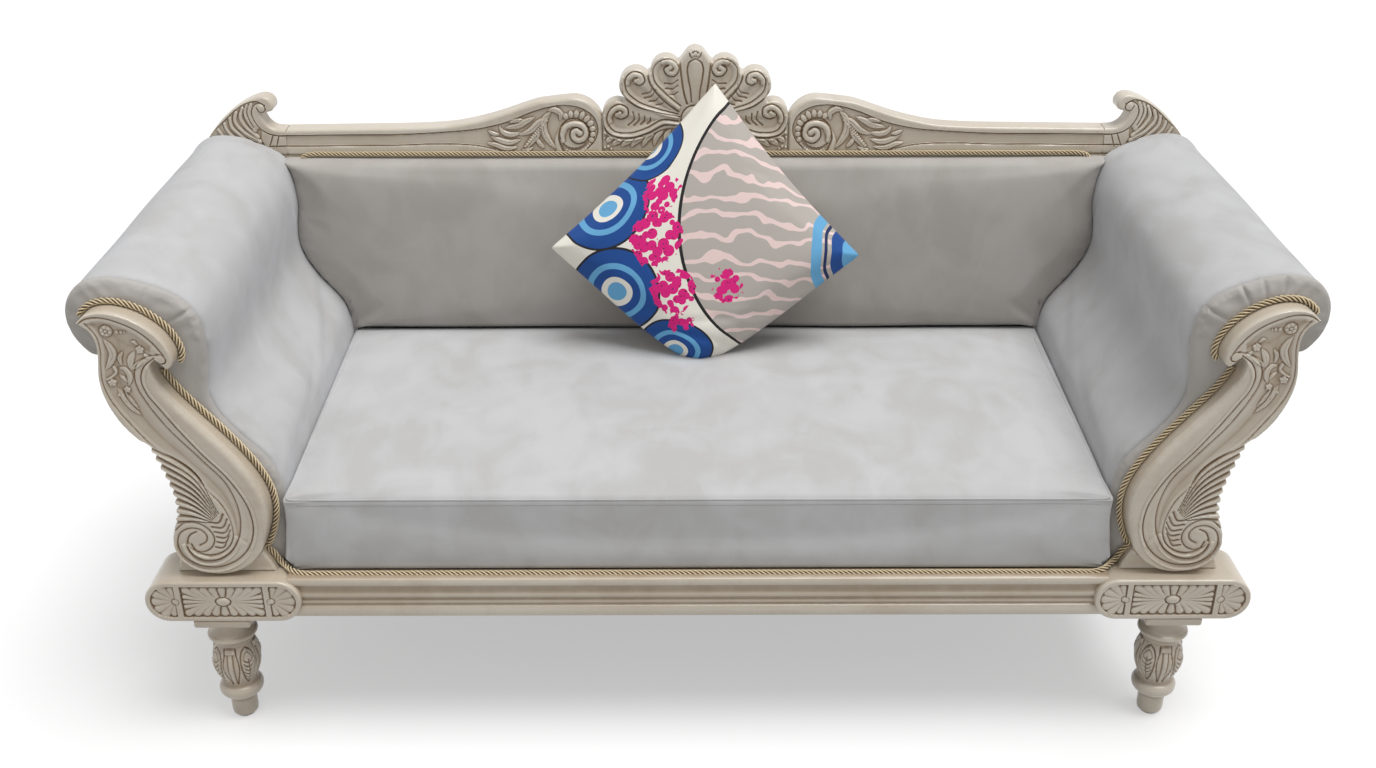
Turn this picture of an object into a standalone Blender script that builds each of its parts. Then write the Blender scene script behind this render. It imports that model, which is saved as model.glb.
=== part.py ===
# A three-seat settee with scrolled arms: carved and limed show wood outside,
# a plain timber frame inside, tight velvet upholstery, rope trim and one loose
# scatter cushion. Sizes are in metres, +Z is up, the front looks along -Y, and
# the origin is on the floor under the middle of the whole object.
#
# While it is built, Y counts back from the front of the carved corner blocks.
# The last step moves everything so that the origin is under the middle.

import math

import bmesh
import bpy
import numpy as np
from mathutils import Matrix, Vector

# Fit between touching pieces, and how close two points are when they are one
CLEARANCE = 0.0003
WELD_DISTANCE = 0.00001

# Corners sharper than this are rounded
CORNER_ANGLE = math.radians(60)

# Base
LEG_HEIGHT = 0.235
RAIL_HEIGHT = 0.081
FRONT_RAIL_SETBACK = 0.010
FRONT_RAIL_THICKNESS = 0.045
FRONT_RAIL_LIFT = 0.003
FRONT_RAIL_COPE = 0.025
FRONT_RAIL_LEDGE = 0.032
FRONT_RAIL_LEDGE_DROP = 0.004
SIDE_RAIL_THICKNESS = 0.040
SIDE_RAIL_OFFSET = 0.152
REAR_RAIL_THICKNESS = 0.040
BRACE_THICKNESS = 0.035
BRACE_HEIGHT = 0.060
BRACE_SPACING = 0.480
GLUE_BLOCK_LEG = 0.110
GLUE_BLOCK_HEIGHT = 0.050
DUST_COVER_THICKNESS = 0.0015
DUST_COVER_MARGIN = 0.012

# Height and set-back of each moulding on the front rail, from the bottom up
RAIL_BANDS = (
    (0.017, 0.001),
    (0.003, 0.006),
    (0.006, 0.003),
    (0.006, 0.006),
    (0.011, 0.002),
    (0.014, 0.006),
)

# Carved corner blocks with round ends
BLOCK_LENGTH = 0.271
BLOCK_DEPTH = 0.100
BLOCK_LAP = 0.021
BLOCK_EDGE = 0.004
BLOCK_ARC_STEPS = 12

# Turned front legs
LEG_ABACUS = 0.098
LEG_ABACUS_HEIGHT = 0.016
LEG_TENON_RADIUS = 0.014
LEG_TENON_LENGTH = 0.040
LEG_OUT = 0.009
LEG_SIDES = 18
GLIDE_HEIGHT = 0.004
GLIDE_RADIUS = 0.017

# Radius and depth below the abacus of the turned leg, from the top down
LEG_PROFILE = (
    (0.0360, 0.000),
    (0.0340, 0.012),
    (0.0390, 0.024),
    (0.0430, 0.033),
    (0.0415, 0.042),
    (0.0335, 0.048),
    (0.0335, 0.056),
    (0.0400, 0.074),
    (0.0435, 0.090),
    (0.0410, 0.108),
    (0.0320, 0.132),
    (0.0295, 0.141),
    (0.0350, 0.146),
    (0.0390, 0.156),
    (0.0365, 0.166),
    (0.0280, 0.172),
    (0.0240, 0.175),
)
LEG_FOOT_RADIUS = 0.0225

# Plain rear legs
REAR_LEG_TOP = 0.056
REAR_LEG_FOOT = 0.038
REAR_LEG_RAKE = 0.030
REAR_TENON_RADIUS = 0.011
REAR_TENON_LENGTH = 0.035

# Seat
SEAT_WIDTH = 1.422
SEAT_FRONT = 0.045
SEAT_HEIGHT = 0.456
SEAT_CROWN = 0.022
SEAT_FRONT_FLARE = 0.009
SEAT_EDGE_ROLL = 0.020
SEAT_SIDE_GAP = 0.001
SEAT_COLUMNS = 8
SEAT_ROWS = 5
SEAT_LAYERS = 3
CROWN_FULLNESS = 0.7
WEB_THICKNESS = 0.0025
WEB_WIDTH = 0.060
SEAT_WEB_COUNT = 4
SEAT_WEB_SPACING = 0.300
WEB_TACK = 0.020

# Arms
SCROLL_SETBACK = 0.020
SCROLL_THICKNESS = 0.042
SCROLL_EDGE = 0.003
PLINTH_SETBACK = 0.014
PLINTH_FOOT = 0.005
PLINTH_INNER_FLARE = 0.022
PLINTH_OUTER_FLARE = 0.010
BORDER_THICKNESS = 0.020
BORDER_EDGE = 0.012
ARM_PAD_THICKNESS = 0.035
ARM_PAD_LIFT = 0.0065
ARM_OUTSIDE_THICKNESS = 0.006
ARM_RIB_THICKNESS = 0.018
ARM_RIB_CLEARANCE = 0.0008
ARM_SPLAY = 0.016
ARM_REAR_RISE = 0.012
ARM_RAIL_WIDTH = 0.045
ARM_RAIL_HEIGHT = 0.050
ARM_RAIL_OUT = 0.140
ARM_RAIL_UP = 0.400
CURVE_STEPS = 3

# Outlines of the arm, seen from the front: distance out from the seat side
# and height above the rails. The show face of the pad runs from the seat up,
# over the roll and under it.
ARM_FACE = (
    (0.010, ARM_PAD_LIFT),
    (0.000, 0.100),
    (0.009, 0.176),
    (0.030, 0.214),
    (0.061, 0.248),
    (0.092, 0.290),
    (0.106, 0.332),
    (0.100, 0.382),
    (0.097, 0.430),
    (0.108, 0.478),
    (0.139, 0.509),
    (0.190, 0.529),
    (0.240, 0.539),
    (0.283, 0.531),
    (0.309, 0.504),
    (0.317, 0.470),
    (0.308, 0.433),
    (0.286, 0.403),
)
ARM_OUTSIDE = (
    (0.268, 0.403),
    (0.260, 0.372),
    (0.248, 0.325),
    (0.226, 0.284),
    (0.202, 0.256),
    (0.185, 0.222),
    (0.175, 0.185),
    (0.170, 0.140),
    (0.171, 0.070),
    (0.176, ARM_PAD_LIFT),
)

# The carved scroll in front of the arm, in stretches between its corners
SCROLL_OUTER = (
    (0.174, 0.118),
    (0.171, 0.155),
    (0.178, 0.193),
    (0.188, 0.224),
    (0.198, 0.252),
)
SCROLL_WAIST = (
    (0.198, 0.252),
    (0.229, 0.286),
    (0.248, 0.319),
    (0.259, 0.354),
    (0.261, 0.386),
    (0.256, 0.421),
    (0.255, 0.446),
    (0.263, 0.468),
    (0.281, 0.481),
)
SCROLL_TOP = (
    (0.281, 0.481),
    (0.264, 0.495),
    (0.237, 0.500),
    (0.205, 0.493),
    (0.176, 0.477),
    (0.152, 0.453),
    (0.139, 0.426),
    (0.139, 0.408),
    (0.147, 0.400),
    (0.155, 0.406),
    (0.165, 0.417),
)
SCROLL_INNER = (
    (0.165, 0.417),
    (0.175, 0.405),
    (0.170, 0.378),
    (0.147, 0.339),
    (0.107, 0.290),
    (0.063, 0.234),
    (0.033, 0.183),
    (0.021, 0.138),
    (0.025, 0.092),
    (0.041, 0.050),
)
SCROLL_FOOT = (
    (0.041, 0.050),
    (0.058, 0.029),
    (0.086, 0.011),
    (0.120, PLINTH_FOOT),
    (0.155, 0.013),
    (0.181, 0.037),
    (0.189, 0.068),
    (0.184, 0.095),
    (0.174, 0.118),
)

# Back
BACK_FOOT = 0.760
BACK_LEAN = math.radians(8.0)
BACK_FRAME_THICKNESS = 0.035
BACK_FRAME_WIDTH = 0.045
BACK_PAD_THICKNESS = 0.036
BACK_PAD_CROWN = 0.022
BACK_PAD_EDGE_ROLL = 0.018
BACK_PAD_SIDE_GAP = 0.006
BACK_PAD_COLUMNS = 9
BACK_PAD_ROWS = 9
BACK_WEB_COUNT = 2
BACK_WEB_SPACING = 0.560
BACK_STILE_SPACING = 0.560
BACK_OUTSIDE_THICKNESS = 0.004

# Crest: height of its foot above the rails, and its outlines with heights above
# that foot
CREST_FOOT = 0.4965
CREST_THICKNESS = 0.040
CREST_EDGE = 0.003
CREST_SPLIT = 0.192
PALMETTE_RISE = 0.2145
PALMETTE_ARC_STEPS = 7
PALMETTE_SHOULDER = (0.014, 0.2095)
PALMETTE_CUSP = (0.029, 0.1915)

# Each lobe of the palmette: centre across, centre up, radius, first and last
# angle in degrees, from the middle outwards
PALMETTE_LOBES = (
    (0.060, 0.1655, 0.032, 140, 5),
    (0.122, 0.1395, 0.034, 135, -48),
    (0.161, 0.0795, 0.0305, 114, -8),
)
VOLUTE_CENTRE = (0.252, 0.0515)
VOLUTE_RADIUS = 0.064
VOLUTE_START = 158
VOLUTE_END = 66
CREST_TOP = (
    (0.300, 0.1115),
    (0.330, 0.1055),
    (0.370, 0.0925),
    (0.418, 0.0775),
    (0.465, 0.0665),
    (0.512, 0.0595),
    (0.606, 0.0555),
)

# The ears stand over the arms, so they count out from the seat side
EAR_RISE = (
    (0.134, 0.0525),
    (0.157, 0.0545),
    (0.173, 0.0655),
    (0.182, 0.0835),
)
EAR_CURL = (
    (0.182, 0.0835),
    (0.169, 0.0875),
    (0.158, 0.0915),
    (0.156, 0.1035),
    (0.164, 0.1155),
    (0.179, 0.1195),
    (0.200, 0.1145),
    (0.229, 0.1005),
    (0.259, 0.0775),
    (0.283, 0.0515),
    (0.297, 0.0335),
)

# Rope trim
ROPE_RADIUS = 0.005
BACK_ROPE_STOP = 0.014

# Where the front rope turns from the arm to the seat: distance in from the arm,
# share of the way forward to the seat front, and height above the rail
FRONT_ROPE_TURN = (
    (0.008, 0.08, 0.006),
    (0.020, 0.38, 0.001),
    (0.034, 0.85, 0.000),
    (0.056, 1.00, -FRONT_RAIL_LEDGE_DROP),
)

# Loose scatter cushion, standing on one corner
CUSHION_SIDE = 0.475
CUSHION_THICKNESS = 0.130
CUSHION_EDGE = 0.006
CUSHION_DRAW_IN = 0.060
CUSHION_SQUASH = 0.260
CUSHION_CELLS = 7
CUSHION_LEAN = math.radians(26.0)
CUSHION_TILT = math.radians(3.5)
CUSHION_ACROSS = 0.020
CUSHION_SETTLES = 3

# Heights and places worked out from the sizes above
rail_top = LEG_HEIGHT + RAIL_HEIGHT
arm_x = SEAT_WIDTH / 2
block_x = arm_x - BLOCK_LAP + BLOCK_LENGTH / 2
leg_x = block_x + LEG_OUT
side_rail_x = arm_x + SIDE_RAIL_OFFSET
rear_rail_back = BACK_FOOT + REAR_RAIL_THICKNESS
lean_slope = math.tan(BACK_LEAN)
border_front = SCROLL_SETBACK + SCROLL_THICKNESS + CLEARANCE
pad_front = border_front + BORDER_THICKNESS + CLEARANCE
back_pad_rear = -WEB_THICKNESS - 2 * CLEARANCE
back_pad_foot = SEAT_HEIGHT - rail_top
leg_y = BLOCK_DEPTH / 2
rear_leg_y = rear_rail_back - REAR_LEG_TOP / 2
sides = (("left", -1), ("right", 1))


def clear_scene():
    for item in list(bpy.data.objects):
        bpy.data.objects.remove(item, do_unlink=True)


clear_scene()
parts = bpy.data.collections.new("carved_three_seat_sofa")
cutters = bpy.data.collections.new("cutters")
bpy.context.scene.collection.children.link(parts)
bpy.context.scene.collection.children.link(cutters)


def make_material(name, colour, roughness, metallic=0.0):
    material = bpy.data.materials.new(name)
    material.use_nodes = True
    shader = material.node_tree.nodes["Principled BSDF"]
    shader.inputs["Base Color"].default_value = (*colour, 1.0)
    shader.inputs["Roughness"].default_value = roughness
    shader.inputs["Metallic"].default_value = metallic
    return material


show_wood = make_material("limed_show_wood", (0.47, 0.41, 0.33), 0.42)
frame_wood = make_material("frame_timber", (0.55, 0.40, 0.24), 0.65)
velvet = make_material("grey_velvet", (0.40, 0.39, 0.38), 0.90)
rope_cord = make_material("gold_rope", (0.52, 0.42, 0.26), 0.70)
webbing = make_material("woven_webbing", (0.42, 0.34, 0.22), 0.90)
dust_cloth = make_material("dust_cloth", (0.03, 0.03, 0.03), 0.95)
cushion_cloth = make_material("cushion_cloth", (0.80, 0.76, 0.68), 0.85)
nylon = make_material("glide_nylon", (0.20, 0.17, 0.14), 0.60)


def add_object(name, mesh, material, place=(0.0, 0.0, 0.0), collection=parts):
    item = bpy.data.objects.new(name, mesh)
    item.location = place
    mesh.materials.append(material)
    collection.objects.link(item)
    return item


def add_cutter(name, mesh, place):
    item = add_object(name, mesh, frame_wood, place, cutters)
    item.hide_render = True
    item.display_type = "WIRE"
    return item


def boolean(item, other, operation):
    change = item.modifiers.new(other.name, "BOOLEAN")
    change.operation = operation
    change.solver = "EXACT"
    change.object = other


def round_edges(item, width, segments=1):
    edge = item.modifiers.new("rounded_edges", "BEVEL")
    edge.width = width
    edge.segments = segments
    edge.limit_method = "ANGLE"
    edge.angle_limit = CORNER_ANGLE
    edge.use_clamp_overlap = True


def box_mesh(name, size):
    mesh = bpy.data.meshes.new(name)
    shape = bmesh.new()
    bmesh.ops.create_cube(shape, size=1.0)
    bmesh.ops.scale(shape, vec=size, verts=shape.verts)
    shape.to_mesh(mesh)
    shape.free()
    return mesh


# A box from its low and high corners, counted from its place
def box(name, low, high, material, place=(0.0, 0.0, 0.0)):
    low = np.array(low)
    high = np.array(high)
    mesh = box_mesh(name, high - low)
    mesh.transform(Matrix.Translation((low + high) / 2))
    return add_object(name, mesh, material, place)


def cylinder_mesh(name, radius, height, segments):
    mesh = bpy.data.meshes.new(name)
    shape = bmesh.new()
    bmesh.ops.create_cone(
        shape, cap_ends=True, segments=segments, radius1=radius, radius2=radius, depth=height
    )
    shape.to_mesh(mesh)
    shape.free()
    mesh.transform(Matrix.Translation((0.0, 0.0, height / 2)))
    return mesh


# A smooth path through the given points, with a few steps between each pair
def smooth(points, steps=CURVE_STEPS):
    points = np.array(points, dtype=float)
    padded = np.vstack([2 * points[0] - points[1], points, 2 * points[-1] - points[-2]])
    path = []
    for before, start, end, after in zip(padded, padded[1:], padded[2:], padded[3:]):
        for step in range(steps):
            t = step / steps
            path.append(
                0.5
                * (
                    2 * start
                    + (end - before) * t
                    + (2 * before - 5 * start + 4 * end - after) * t**2
                    + (3 * start - before - 3 * end + after) * t**3
                )
            )
    path.append(points[-1])
    return np.array(path)


# Smooth stretches joined end to end at their corners
def joined(*stretches):
    paths = [stretches[0]]
    for stretch in stretches[1:]:
        repeats = np.allclose(stretch[0], paths[-1][-1])
        paths.append(stretch[1:] if repeats else stretch)
    outline = np.vstack(paths)
    if np.allclose(outline[0], outline[-1]):
        outline = outline[:-1]
    return outline


# The path moved sideways, to the right of the way it runs
def offset(path, distance):
    along = np.gradient(path, axis=0)
    along /= np.linalg.norm(along, axis=1)[:, None]
    return path + distance * np.column_stack([along[:, 1], -along[:, 0]])


def arc(centre, radius, first, last, steps):
    angles = np.radians(np.linspace(first, last, steps + 1))
    return np.column_stack(
        [centre[0] + radius * np.cos(angles), centre[1] + radius * np.sin(angles)]
    )


front_view = Matrix.Rotation(math.radians(90), 4, "X")
side_view = Matrix(((0, 0, 1, 0), (1, 0, 0, 0), (0, 1, 0, 0), (0, 0, 0, 1)))


# A flat outline given a thickness, as a closed mesh in the given view
def outline_mesh(name, outline, thickness, view):
    curve = bpy.data.curves.new(name, "CURVE")
    curve.dimensions = "2D"
    curve.fill_mode = "BOTH"
    curve.extrude = thickness / 2
    spline = curve.splines.new("POLY")
    spline.points.add(len(outline) - 1)
    spline.use_cyclic_u = True
    for point, (across, up) in zip(spline.points, outline):
        point.co = (across, up, 0.0, 1.0)
    guide = bpy.data.objects.new(name, curve)
    parts.objects.link(guide)
    seen = guide.evaluated_get(bpy.context.evaluated_depsgraph_get())
    mesh = bpy.data.meshes.new_from_object(seen)
    bpy.data.objects.remove(guide)
    shape = bmesh.new()
    shape.from_mesh(mesh)
    bmesh.ops.remove_doubles(shape, verts=shape.verts, dist=WELD_DISTANCE)
    bmesh.ops.transform(shape, matrix=view, verts=shape.verts)
    bmesh.ops.recalc_face_normals(shape, faces=shape.faces)
    shape.to_mesh(mesh)
    shape.free()
    mesh.name = name
    return mesh


# A board seen from the front, with its front face at the given depth
def board(name, outline, front, thickness, material, place):
    mesh = outline_mesh(name, outline, thickness, front_view)
    mesh.transform(Matrix.Translation((0.0, front + thickness / 2, 0.0)))
    return add_object(name, mesh, material, place)


# Leans an upright piece of the back, whose own height counts from the rails
def lean_back(item):
    for vertex in item.data.vertices:
        vertex.co.y += (vertex.co.z + item.location.z - rail_top) * lean_slope
    return item


# Moves the rear end of a piece of the arm out, up and back to the leaning
# plane of the back, so that it meets the plane at every height
def meet_back(item, side, standoff):
    half_way = BACK_FOOT / 2
    for vertex in item.data.vertices:
        if vertex.co.y + item.location.y > half_way:
            vertex.co.x += side * ARM_SPLAY
            vertex.co.z *= arm_rear_stretch
            vertex.co.y = BACK_FOOT + vertex.co.z * lean_slope - standoff - item.location.y


def turned(name, profile, material, place, steps):
    mesh = bpy.data.meshes.new(name)
    points = [(radius, 0.0, height) for radius, height in profile]
    mesh.from_pydata(points, [(i, i + 1) for i in range(len(points) - 1)], [])
    item = add_object(name, mesh, material, place)
    screw = item.modifiers.new("turning", "SCREW")
    screw.steps = steps
    screw.render_steps = steps
    screw.use_merge_vertices = True
    screw.merge_threshold = WELD_DISTANCE
    return item


def tube(name, points, radius, material):
    curve = bpy.data.curves.new(name, "CURVE")
    curve.dimensions = "3D"
    curve.bevel_depth = radius
    curve.bevel_resolution = 1
    curve.use_fill_caps = True
    spline = curve.splines.new("POLY")
    spline.points.add(len(points) - 1)
    for point, place in zip(spline.points, points):
        point.co = (*place, 1.0)
    return add_object(name, curve, material)


# Places of a pad's cage along one way: a narrow cell at each end for the
# rolled edge, and even cells between
def cage_places(low, high, roll, cells):
    return np.concatenate([[low], np.linspace(low + roll, high - roll, cells - 1), [high]])


# A stuffed form: a box cut into cells, each corner moved by the shape given,
# and then smoothed
def stuffed(name, cells, shape_at, material, place=(0.0, 0.0, 0.0)):
    mesh = bpy.data.meshes.new(name)
    cage = bmesh.new()
    bmesh.ops.create_cube(cage, size=2.0)
    for axis, count in enumerate(cells):
        if count > 1:
            along = [
                edge
                for edge in cage.edges
                if abs(edge.verts[0].co[axis] - edge.verts[1].co[axis]) > 1.0
            ]
            bmesh.ops.subdivide_edges(cage, edges=along, cuts=count - 1, use_grid_fill=True)
    for vertex in cage.verts:
        steps = [round((vertex.co[axis] + 1) / 2 * cells[axis]) for axis in range(3)]
        vertex.co = shape_at(*steps)
    bmesh.ops.recalc_face_normals(cage, faces=cage.faces)
    cage.to_mesh(mesh)
    cage.free()
    item = add_object(name, mesh, material, place)
    soften = item.modifiers.new("softened", "SUBSURF")
    soften.levels = 1
    soften.render_levels = 1
    mesh.shade_smooth()
    return item


# Profile of a stuffed crown: full in the middle and none at the edges
def crown(place, low, high):
    middle = (low + high) / 2
    share = (place - middle) / (high - middle)
    return max(0.0, 1.0 - share * share) ** CROWN_FULLNESS


arm_face = smooth(ARM_FACE)
arm_outside = smooth(ARM_OUTSIDE)
arm_rear_stretch = 1 + ARM_REAR_RISE / arm_face[:, 1].max()


# Distance out of the arm's show face at its rear end, at a height above the
# rails and below the roll
def arm_rear_face_at(height):
    rising = arm_face[: np.argmax(arm_face[:, 1]) + 1]
    return ARM_SPLAY + np.interp(height / arm_rear_stretch, rising[:, 1], rising[:, 0])


def corner_block(side_name, side):
    radius = RAIL_HEIGHT / 2
    straight = BLOCK_LENGTH / 2 - radius
    outline = np.vstack(
        [
            arc((straight, radius), radius, -90, 90, BLOCK_ARC_STEPS),
            arc((-straight, radius), radius, 90, 270, BLOCK_ARC_STEPS),
        ]
    )
    place = (side * block_x, 0.0, LEG_HEIGHT)
    item = board(f"corner_block_{side_name}", outline, 0.0, BLOCK_DEPTH, show_wood, place)
    round_edges(item, BLOCK_EDGE)
    mesh = cylinder_mesh(
        f"leg_bore_{side_name}", LEG_TENON_RADIUS + CLEARANCE, LEG_TENON_LENGTH * 2, LEG_SIDES
    )
    bore_foot = LEG_HEIGHT - LEG_TENON_LENGTH + CLEARANCE
    bore = add_cutter(f"leg_bore_{side_name}", mesh, (side * leg_x, leg_y, bore_foot))
    boolean(item, bore, "DIFFERENCE")


# The front rail is coped round the inner ends of the corner blocks
def front_rail():
    inner_end = block_x - BLOCK_LENGTH / 2
    length = 2 * (inner_end + FRONT_RAIL_COPE)
    bottom = FRONT_RAIL_LIFT
    section = []
    height = bottom
    for band, recess in RAIL_BANDS:
        section += [(recess, height), (recess, height + band)]
        height += band
    top = RAIL_HEIGHT - CLEARANCE
    section += [
        (0.0, height),
        (0.0, top - FRONT_RAIL_LEDGE_DROP),
        (FRONT_RAIL_LEDGE, top - FRONT_RAIL_LEDGE_DROP),
        (FRONT_RAIL_LEDGE, top),
        (FRONT_RAIL_THICKNESS, top),
        (FRONT_RAIL_THICKNESS, bottom),
    ]
    mesh = outline_mesh("front_rail", np.array(section), length, side_view)
    item = add_object("front_rail", mesh, show_wood, (0.0, FRONT_RAIL_SETBACK, LEG_HEIGHT))
    radius = RAIL_HEIGHT / 2
    for side_name, side in sides:
        cope = cylinder_mesh(f"cope_{side_name}", radius + CLEARANCE, BLOCK_DEPTH * 2, 4 * BLOCK_ARC_STEPS)
        cope.transform(Matrix.Rotation(math.radians(90), 4, "X"))
        centre = side * (inner_end + radius)
        cutter = add_cutter(f"cope_{side_name}", cope, (centre, BLOCK_DEPTH, LEG_HEIGHT + radius))
        boolean(item, cutter, "DIFFERENCE")


def side_rail(side_name, side):
    low = (-SIDE_RAIL_THICKNESS / 2, BLOCK_DEPTH + CLEARANCE, 0.0)
    high = (SIDE_RAIL_THICKNESS / 2, rear_rail_back, RAIL_HEIGHT - CLEARANCE)
    place = (side * side_rail_x, 0.0, LEG_HEIGHT)
    item = box(f"side_rail_{side_name}", low, high, frame_wood, place)
    mesh = cylinder_mesh(
        f"rear_bore_{side_name}", REAR_TENON_RADIUS + CLEARANCE, REAR_TENON_LENGTH * 2, LEG_SIDES
    )
    bore_foot = LEG_HEIGHT - REAR_TENON_LENGTH + CLEARANCE
    bore = add_cutter(f"rear_bore_{side_name}", mesh, (side * side_rail_x, rear_leg_y, bore_foot))
    boolean(item, bore, "DIFFERENCE")


def rear_rail():
    half = side_rail_x - SIDE_RAIL_THICKNESS / 2 - CLEARANCE
    low = (-half, BACK_FOOT, 0.0)
    high = (half, rear_rail_back, RAIL_HEIGHT - CLEARANCE)
    box("rear_rail", low, high, frame_wood, (0.0, 0.0, LEG_HEIGHT))


def seat_brace(side_name, side):
    low = (-BRACE_THICKNESS / 2, FRONT_RAIL_SETBACK + FRONT_RAIL_THICKNESS + CLEARANCE, 0.0)
    high = (BRACE_THICKNESS / 2, BACK_FOOT - CLEARANCE, BRACE_HEIGHT)
    place = (side * BRACE_SPACING / 2, 0.0, LEG_HEIGHT)
    box(f"seat_brace_{side_name}", low, high, frame_wood, place)


# Triangular block glued in the rear corner of the seat frame
def glue_block(side_name, side):
    leg = GLUE_BLOCK_LEG
    outline = np.array([(0.0, 0.0), (-leg, 0.0), (0.0, -leg)]) * (side, 1)
    mesh = outline_mesh(f"glue_block_{side_name}", outline, GLUE_BLOCK_HEIGHT, Matrix.Identity(4))
    corner_x = side_rail_x - SIDE_RAIL_THICKNESS / 2 - CLEARANCE
    middle = LEG_HEIGHT + RAIL_HEIGHT / 2
    place = (side * corner_x, BACK_FOOT - CLEARANCE, middle)
    add_object(f"glue_block_{side_name}", mesh, frame_wood, place)


def dust_cover():
    half = leg_x - LEG_ABACUS / 2 - DUST_COVER_MARGIN
    low = (-half, FRONT_RAIL_SETBACK + DUST_COVER_MARGIN, -CLEARANCE - DUST_COVER_THICKNESS)
    high = (half, rear_rail_back - DUST_COVER_MARGIN, -CLEARANCE)
    box("dust_cover", low, high, dust_cloth, (0.0, 0.0, LEG_HEIGHT))


def front_leg(side_name, side):
    top = LEG_HEIGHT - CLEARANCE
    turning_top = top - LEG_ABACUS_HEIGHT
    profile = [(0.0, top + LEG_TENON_LENGTH - 2 * CLEARANCE)]
    profile += [(LEG_TENON_RADIUS, profile[0][1]), (LEG_TENON_RADIUS, turning_top)]
    profile += [(radius, turning_top - depth) for radius, depth in LEG_PROFILE]
    profile += [(LEG_FOOT_RADIUS, GLIDE_HEIGHT), (0.0, GLIDE_HEIGHT)]
    place = (side * leg_x, leg_y, 0.0)
    item = turned(f"front_leg_{side_name}", profile, show_wood, place, LEG_SIDES)
    plate = box_mesh(f"abacus_{side_name}", (LEG_ABACUS, LEG_ABACUS, LEG_ABACUS_HEIGHT))
    plate_place = (side * leg_x, leg_y, top - LEG_ABACUS_HEIGHT / 2)
    boolean(item, add_cutter(f"abacus_{side_name}", plate, plate_place), "UNION")
    glide(f"glide_front_{side_name}", side * leg_x, leg_y)


def rear_leg(side_name, side):
    height = LEG_HEIGHT - CLEARANCE - GLIDE_HEIGHT
    mesh = box_mesh(f"rear_leg_{side_name}", (REAR_LEG_TOP, REAR_LEG_TOP, height))
    for vertex in mesh.vertices:
        if vertex.co.z < 0:
            vertex.co.x *= REAR_LEG_FOOT / REAR_LEG_TOP
            vertex.co.y = vertex.co.y * REAR_LEG_FOOT / REAR_LEG_TOP + REAR_LEG_RAKE
    place = (side * side_rail_x, rear_leg_y, GLIDE_HEIGHT + height / 2)
    item = add_object(f"rear_leg_{side_name}", mesh, show_wood, place)
    tenon = cylinder_mesh(
        f"rear_tenon_{side_name}", REAR_TENON_RADIUS, REAR_TENON_LENGTH * 2, LEG_SIDES
    )
    foot = LEG_HEIGHT - REAR_TENON_LENGTH - CLEARANCE
    cutter = add_cutter(f"rear_tenon_{side_name}", tenon, (side * side_rail_x, rear_leg_y, foot))
    boolean(item, cutter, "UNION")
    glide(f"glide_rear_{side_name}", side * side_rail_x, rear_leg_y + REAR_LEG_RAKE)


def glide(name, x, y):
    mesh = cylinder_mesh(name, GLIDE_RADIUS, GLIDE_HEIGHT - CLEARANCE, LEG_SIDES)
    add_object(name, mesh, nylon, (x, y, 0.0))


def seat_webs():
    first = -SEAT_WEB_SPACING * (SEAT_WEB_COUNT - 1) / 2
    front = SEAT_FRONT + CLEARANCE
    low = (-WEB_WIDTH / 2, front, CLEARANCE)
    high = (WEB_WIDTH / 2, BACK_FOOT + WEB_TACK, CLEARANCE + WEB_THICKNESS)
    for number in range(SEAT_WEB_COUNT):
        place = (first + number * SEAT_WEB_SPACING, 0.0, rail_top - CLEARANCE)
        box(f"seat_web_{number + 1}", low, high, webbing, place)


# The seat's crown ends in front of the back pad, which stands on its flat rear
def seat_pad():
    half = arm_x - SEAT_SIDE_GAP
    bottom = rail_top + WEB_THICKNESS + CLEARANCE
    rear = BACK_FOOT - CLEARANCE
    back_front = BACK_FOOT + (SEAT_HEIGHT - rail_top) * lean_slope + back_pad_rear - BACK_PAD_THICKNESS
    crown_end = 2 * back_front - rear - CLEARANCE
    across = cage_places(-half, half, SEAT_EDGE_ROLL, SEAT_COLUMNS)
    even = np.linspace(SEAT_FRONT + SEAT_EDGE_ROLL, crown_end, SEAT_ROWS - 1)
    along = np.concatenate([[SEAT_FRONT], even, [rear]])
    up = cage_places(bottom, SEAT_HEIGHT, SEAT_EDGE_ROLL, SEAT_LAYERS)

    def shape_at(i, j, k):
        height = up[k]
        if k == SEAT_LAYERS:
            swell = crown(across[i], -half, half) * crown(along[j], SEAT_FRONT, crown_end)
            height += SEAT_CROWN * swell
        place = along[j]
        if j == 0:
            place -= SEAT_FRONT_FLARE * (SEAT_HEIGHT - up[k]) / (SEAT_HEIGHT - bottom)
        splay = ARM_SPLAY * max(0.0, place - pad_front) / (BACK_FOOT - pad_front)
        return across[i] * (half + splay) / half, place, height

    return stuffed("seat_pad", (SEAT_COLUMNS, SEAT_ROWS, SEAT_LAYERS), shape_at, velvet)


def scroll_outline():
    return joined(
        smooth(SCROLL_OUTER),
        smooth(SCROLL_WAIST),
        smooth(SCROLL_TOP),
        smooth(SCROLL_INNER),
        smooth(SCROLL_FOOT),
    )


def arm_scroll(side_name, side):
    place = (side * arm_x, SCROLL_SETBACK, rail_top)
    outline = scroll_outline() * (side, 1)
    item = board(f"arm_scroll_{side_name}", outline, 0.0, SCROLL_THICKNESS, show_wood, place)
    round_edges(item, SCROLL_EDGE)


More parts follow.
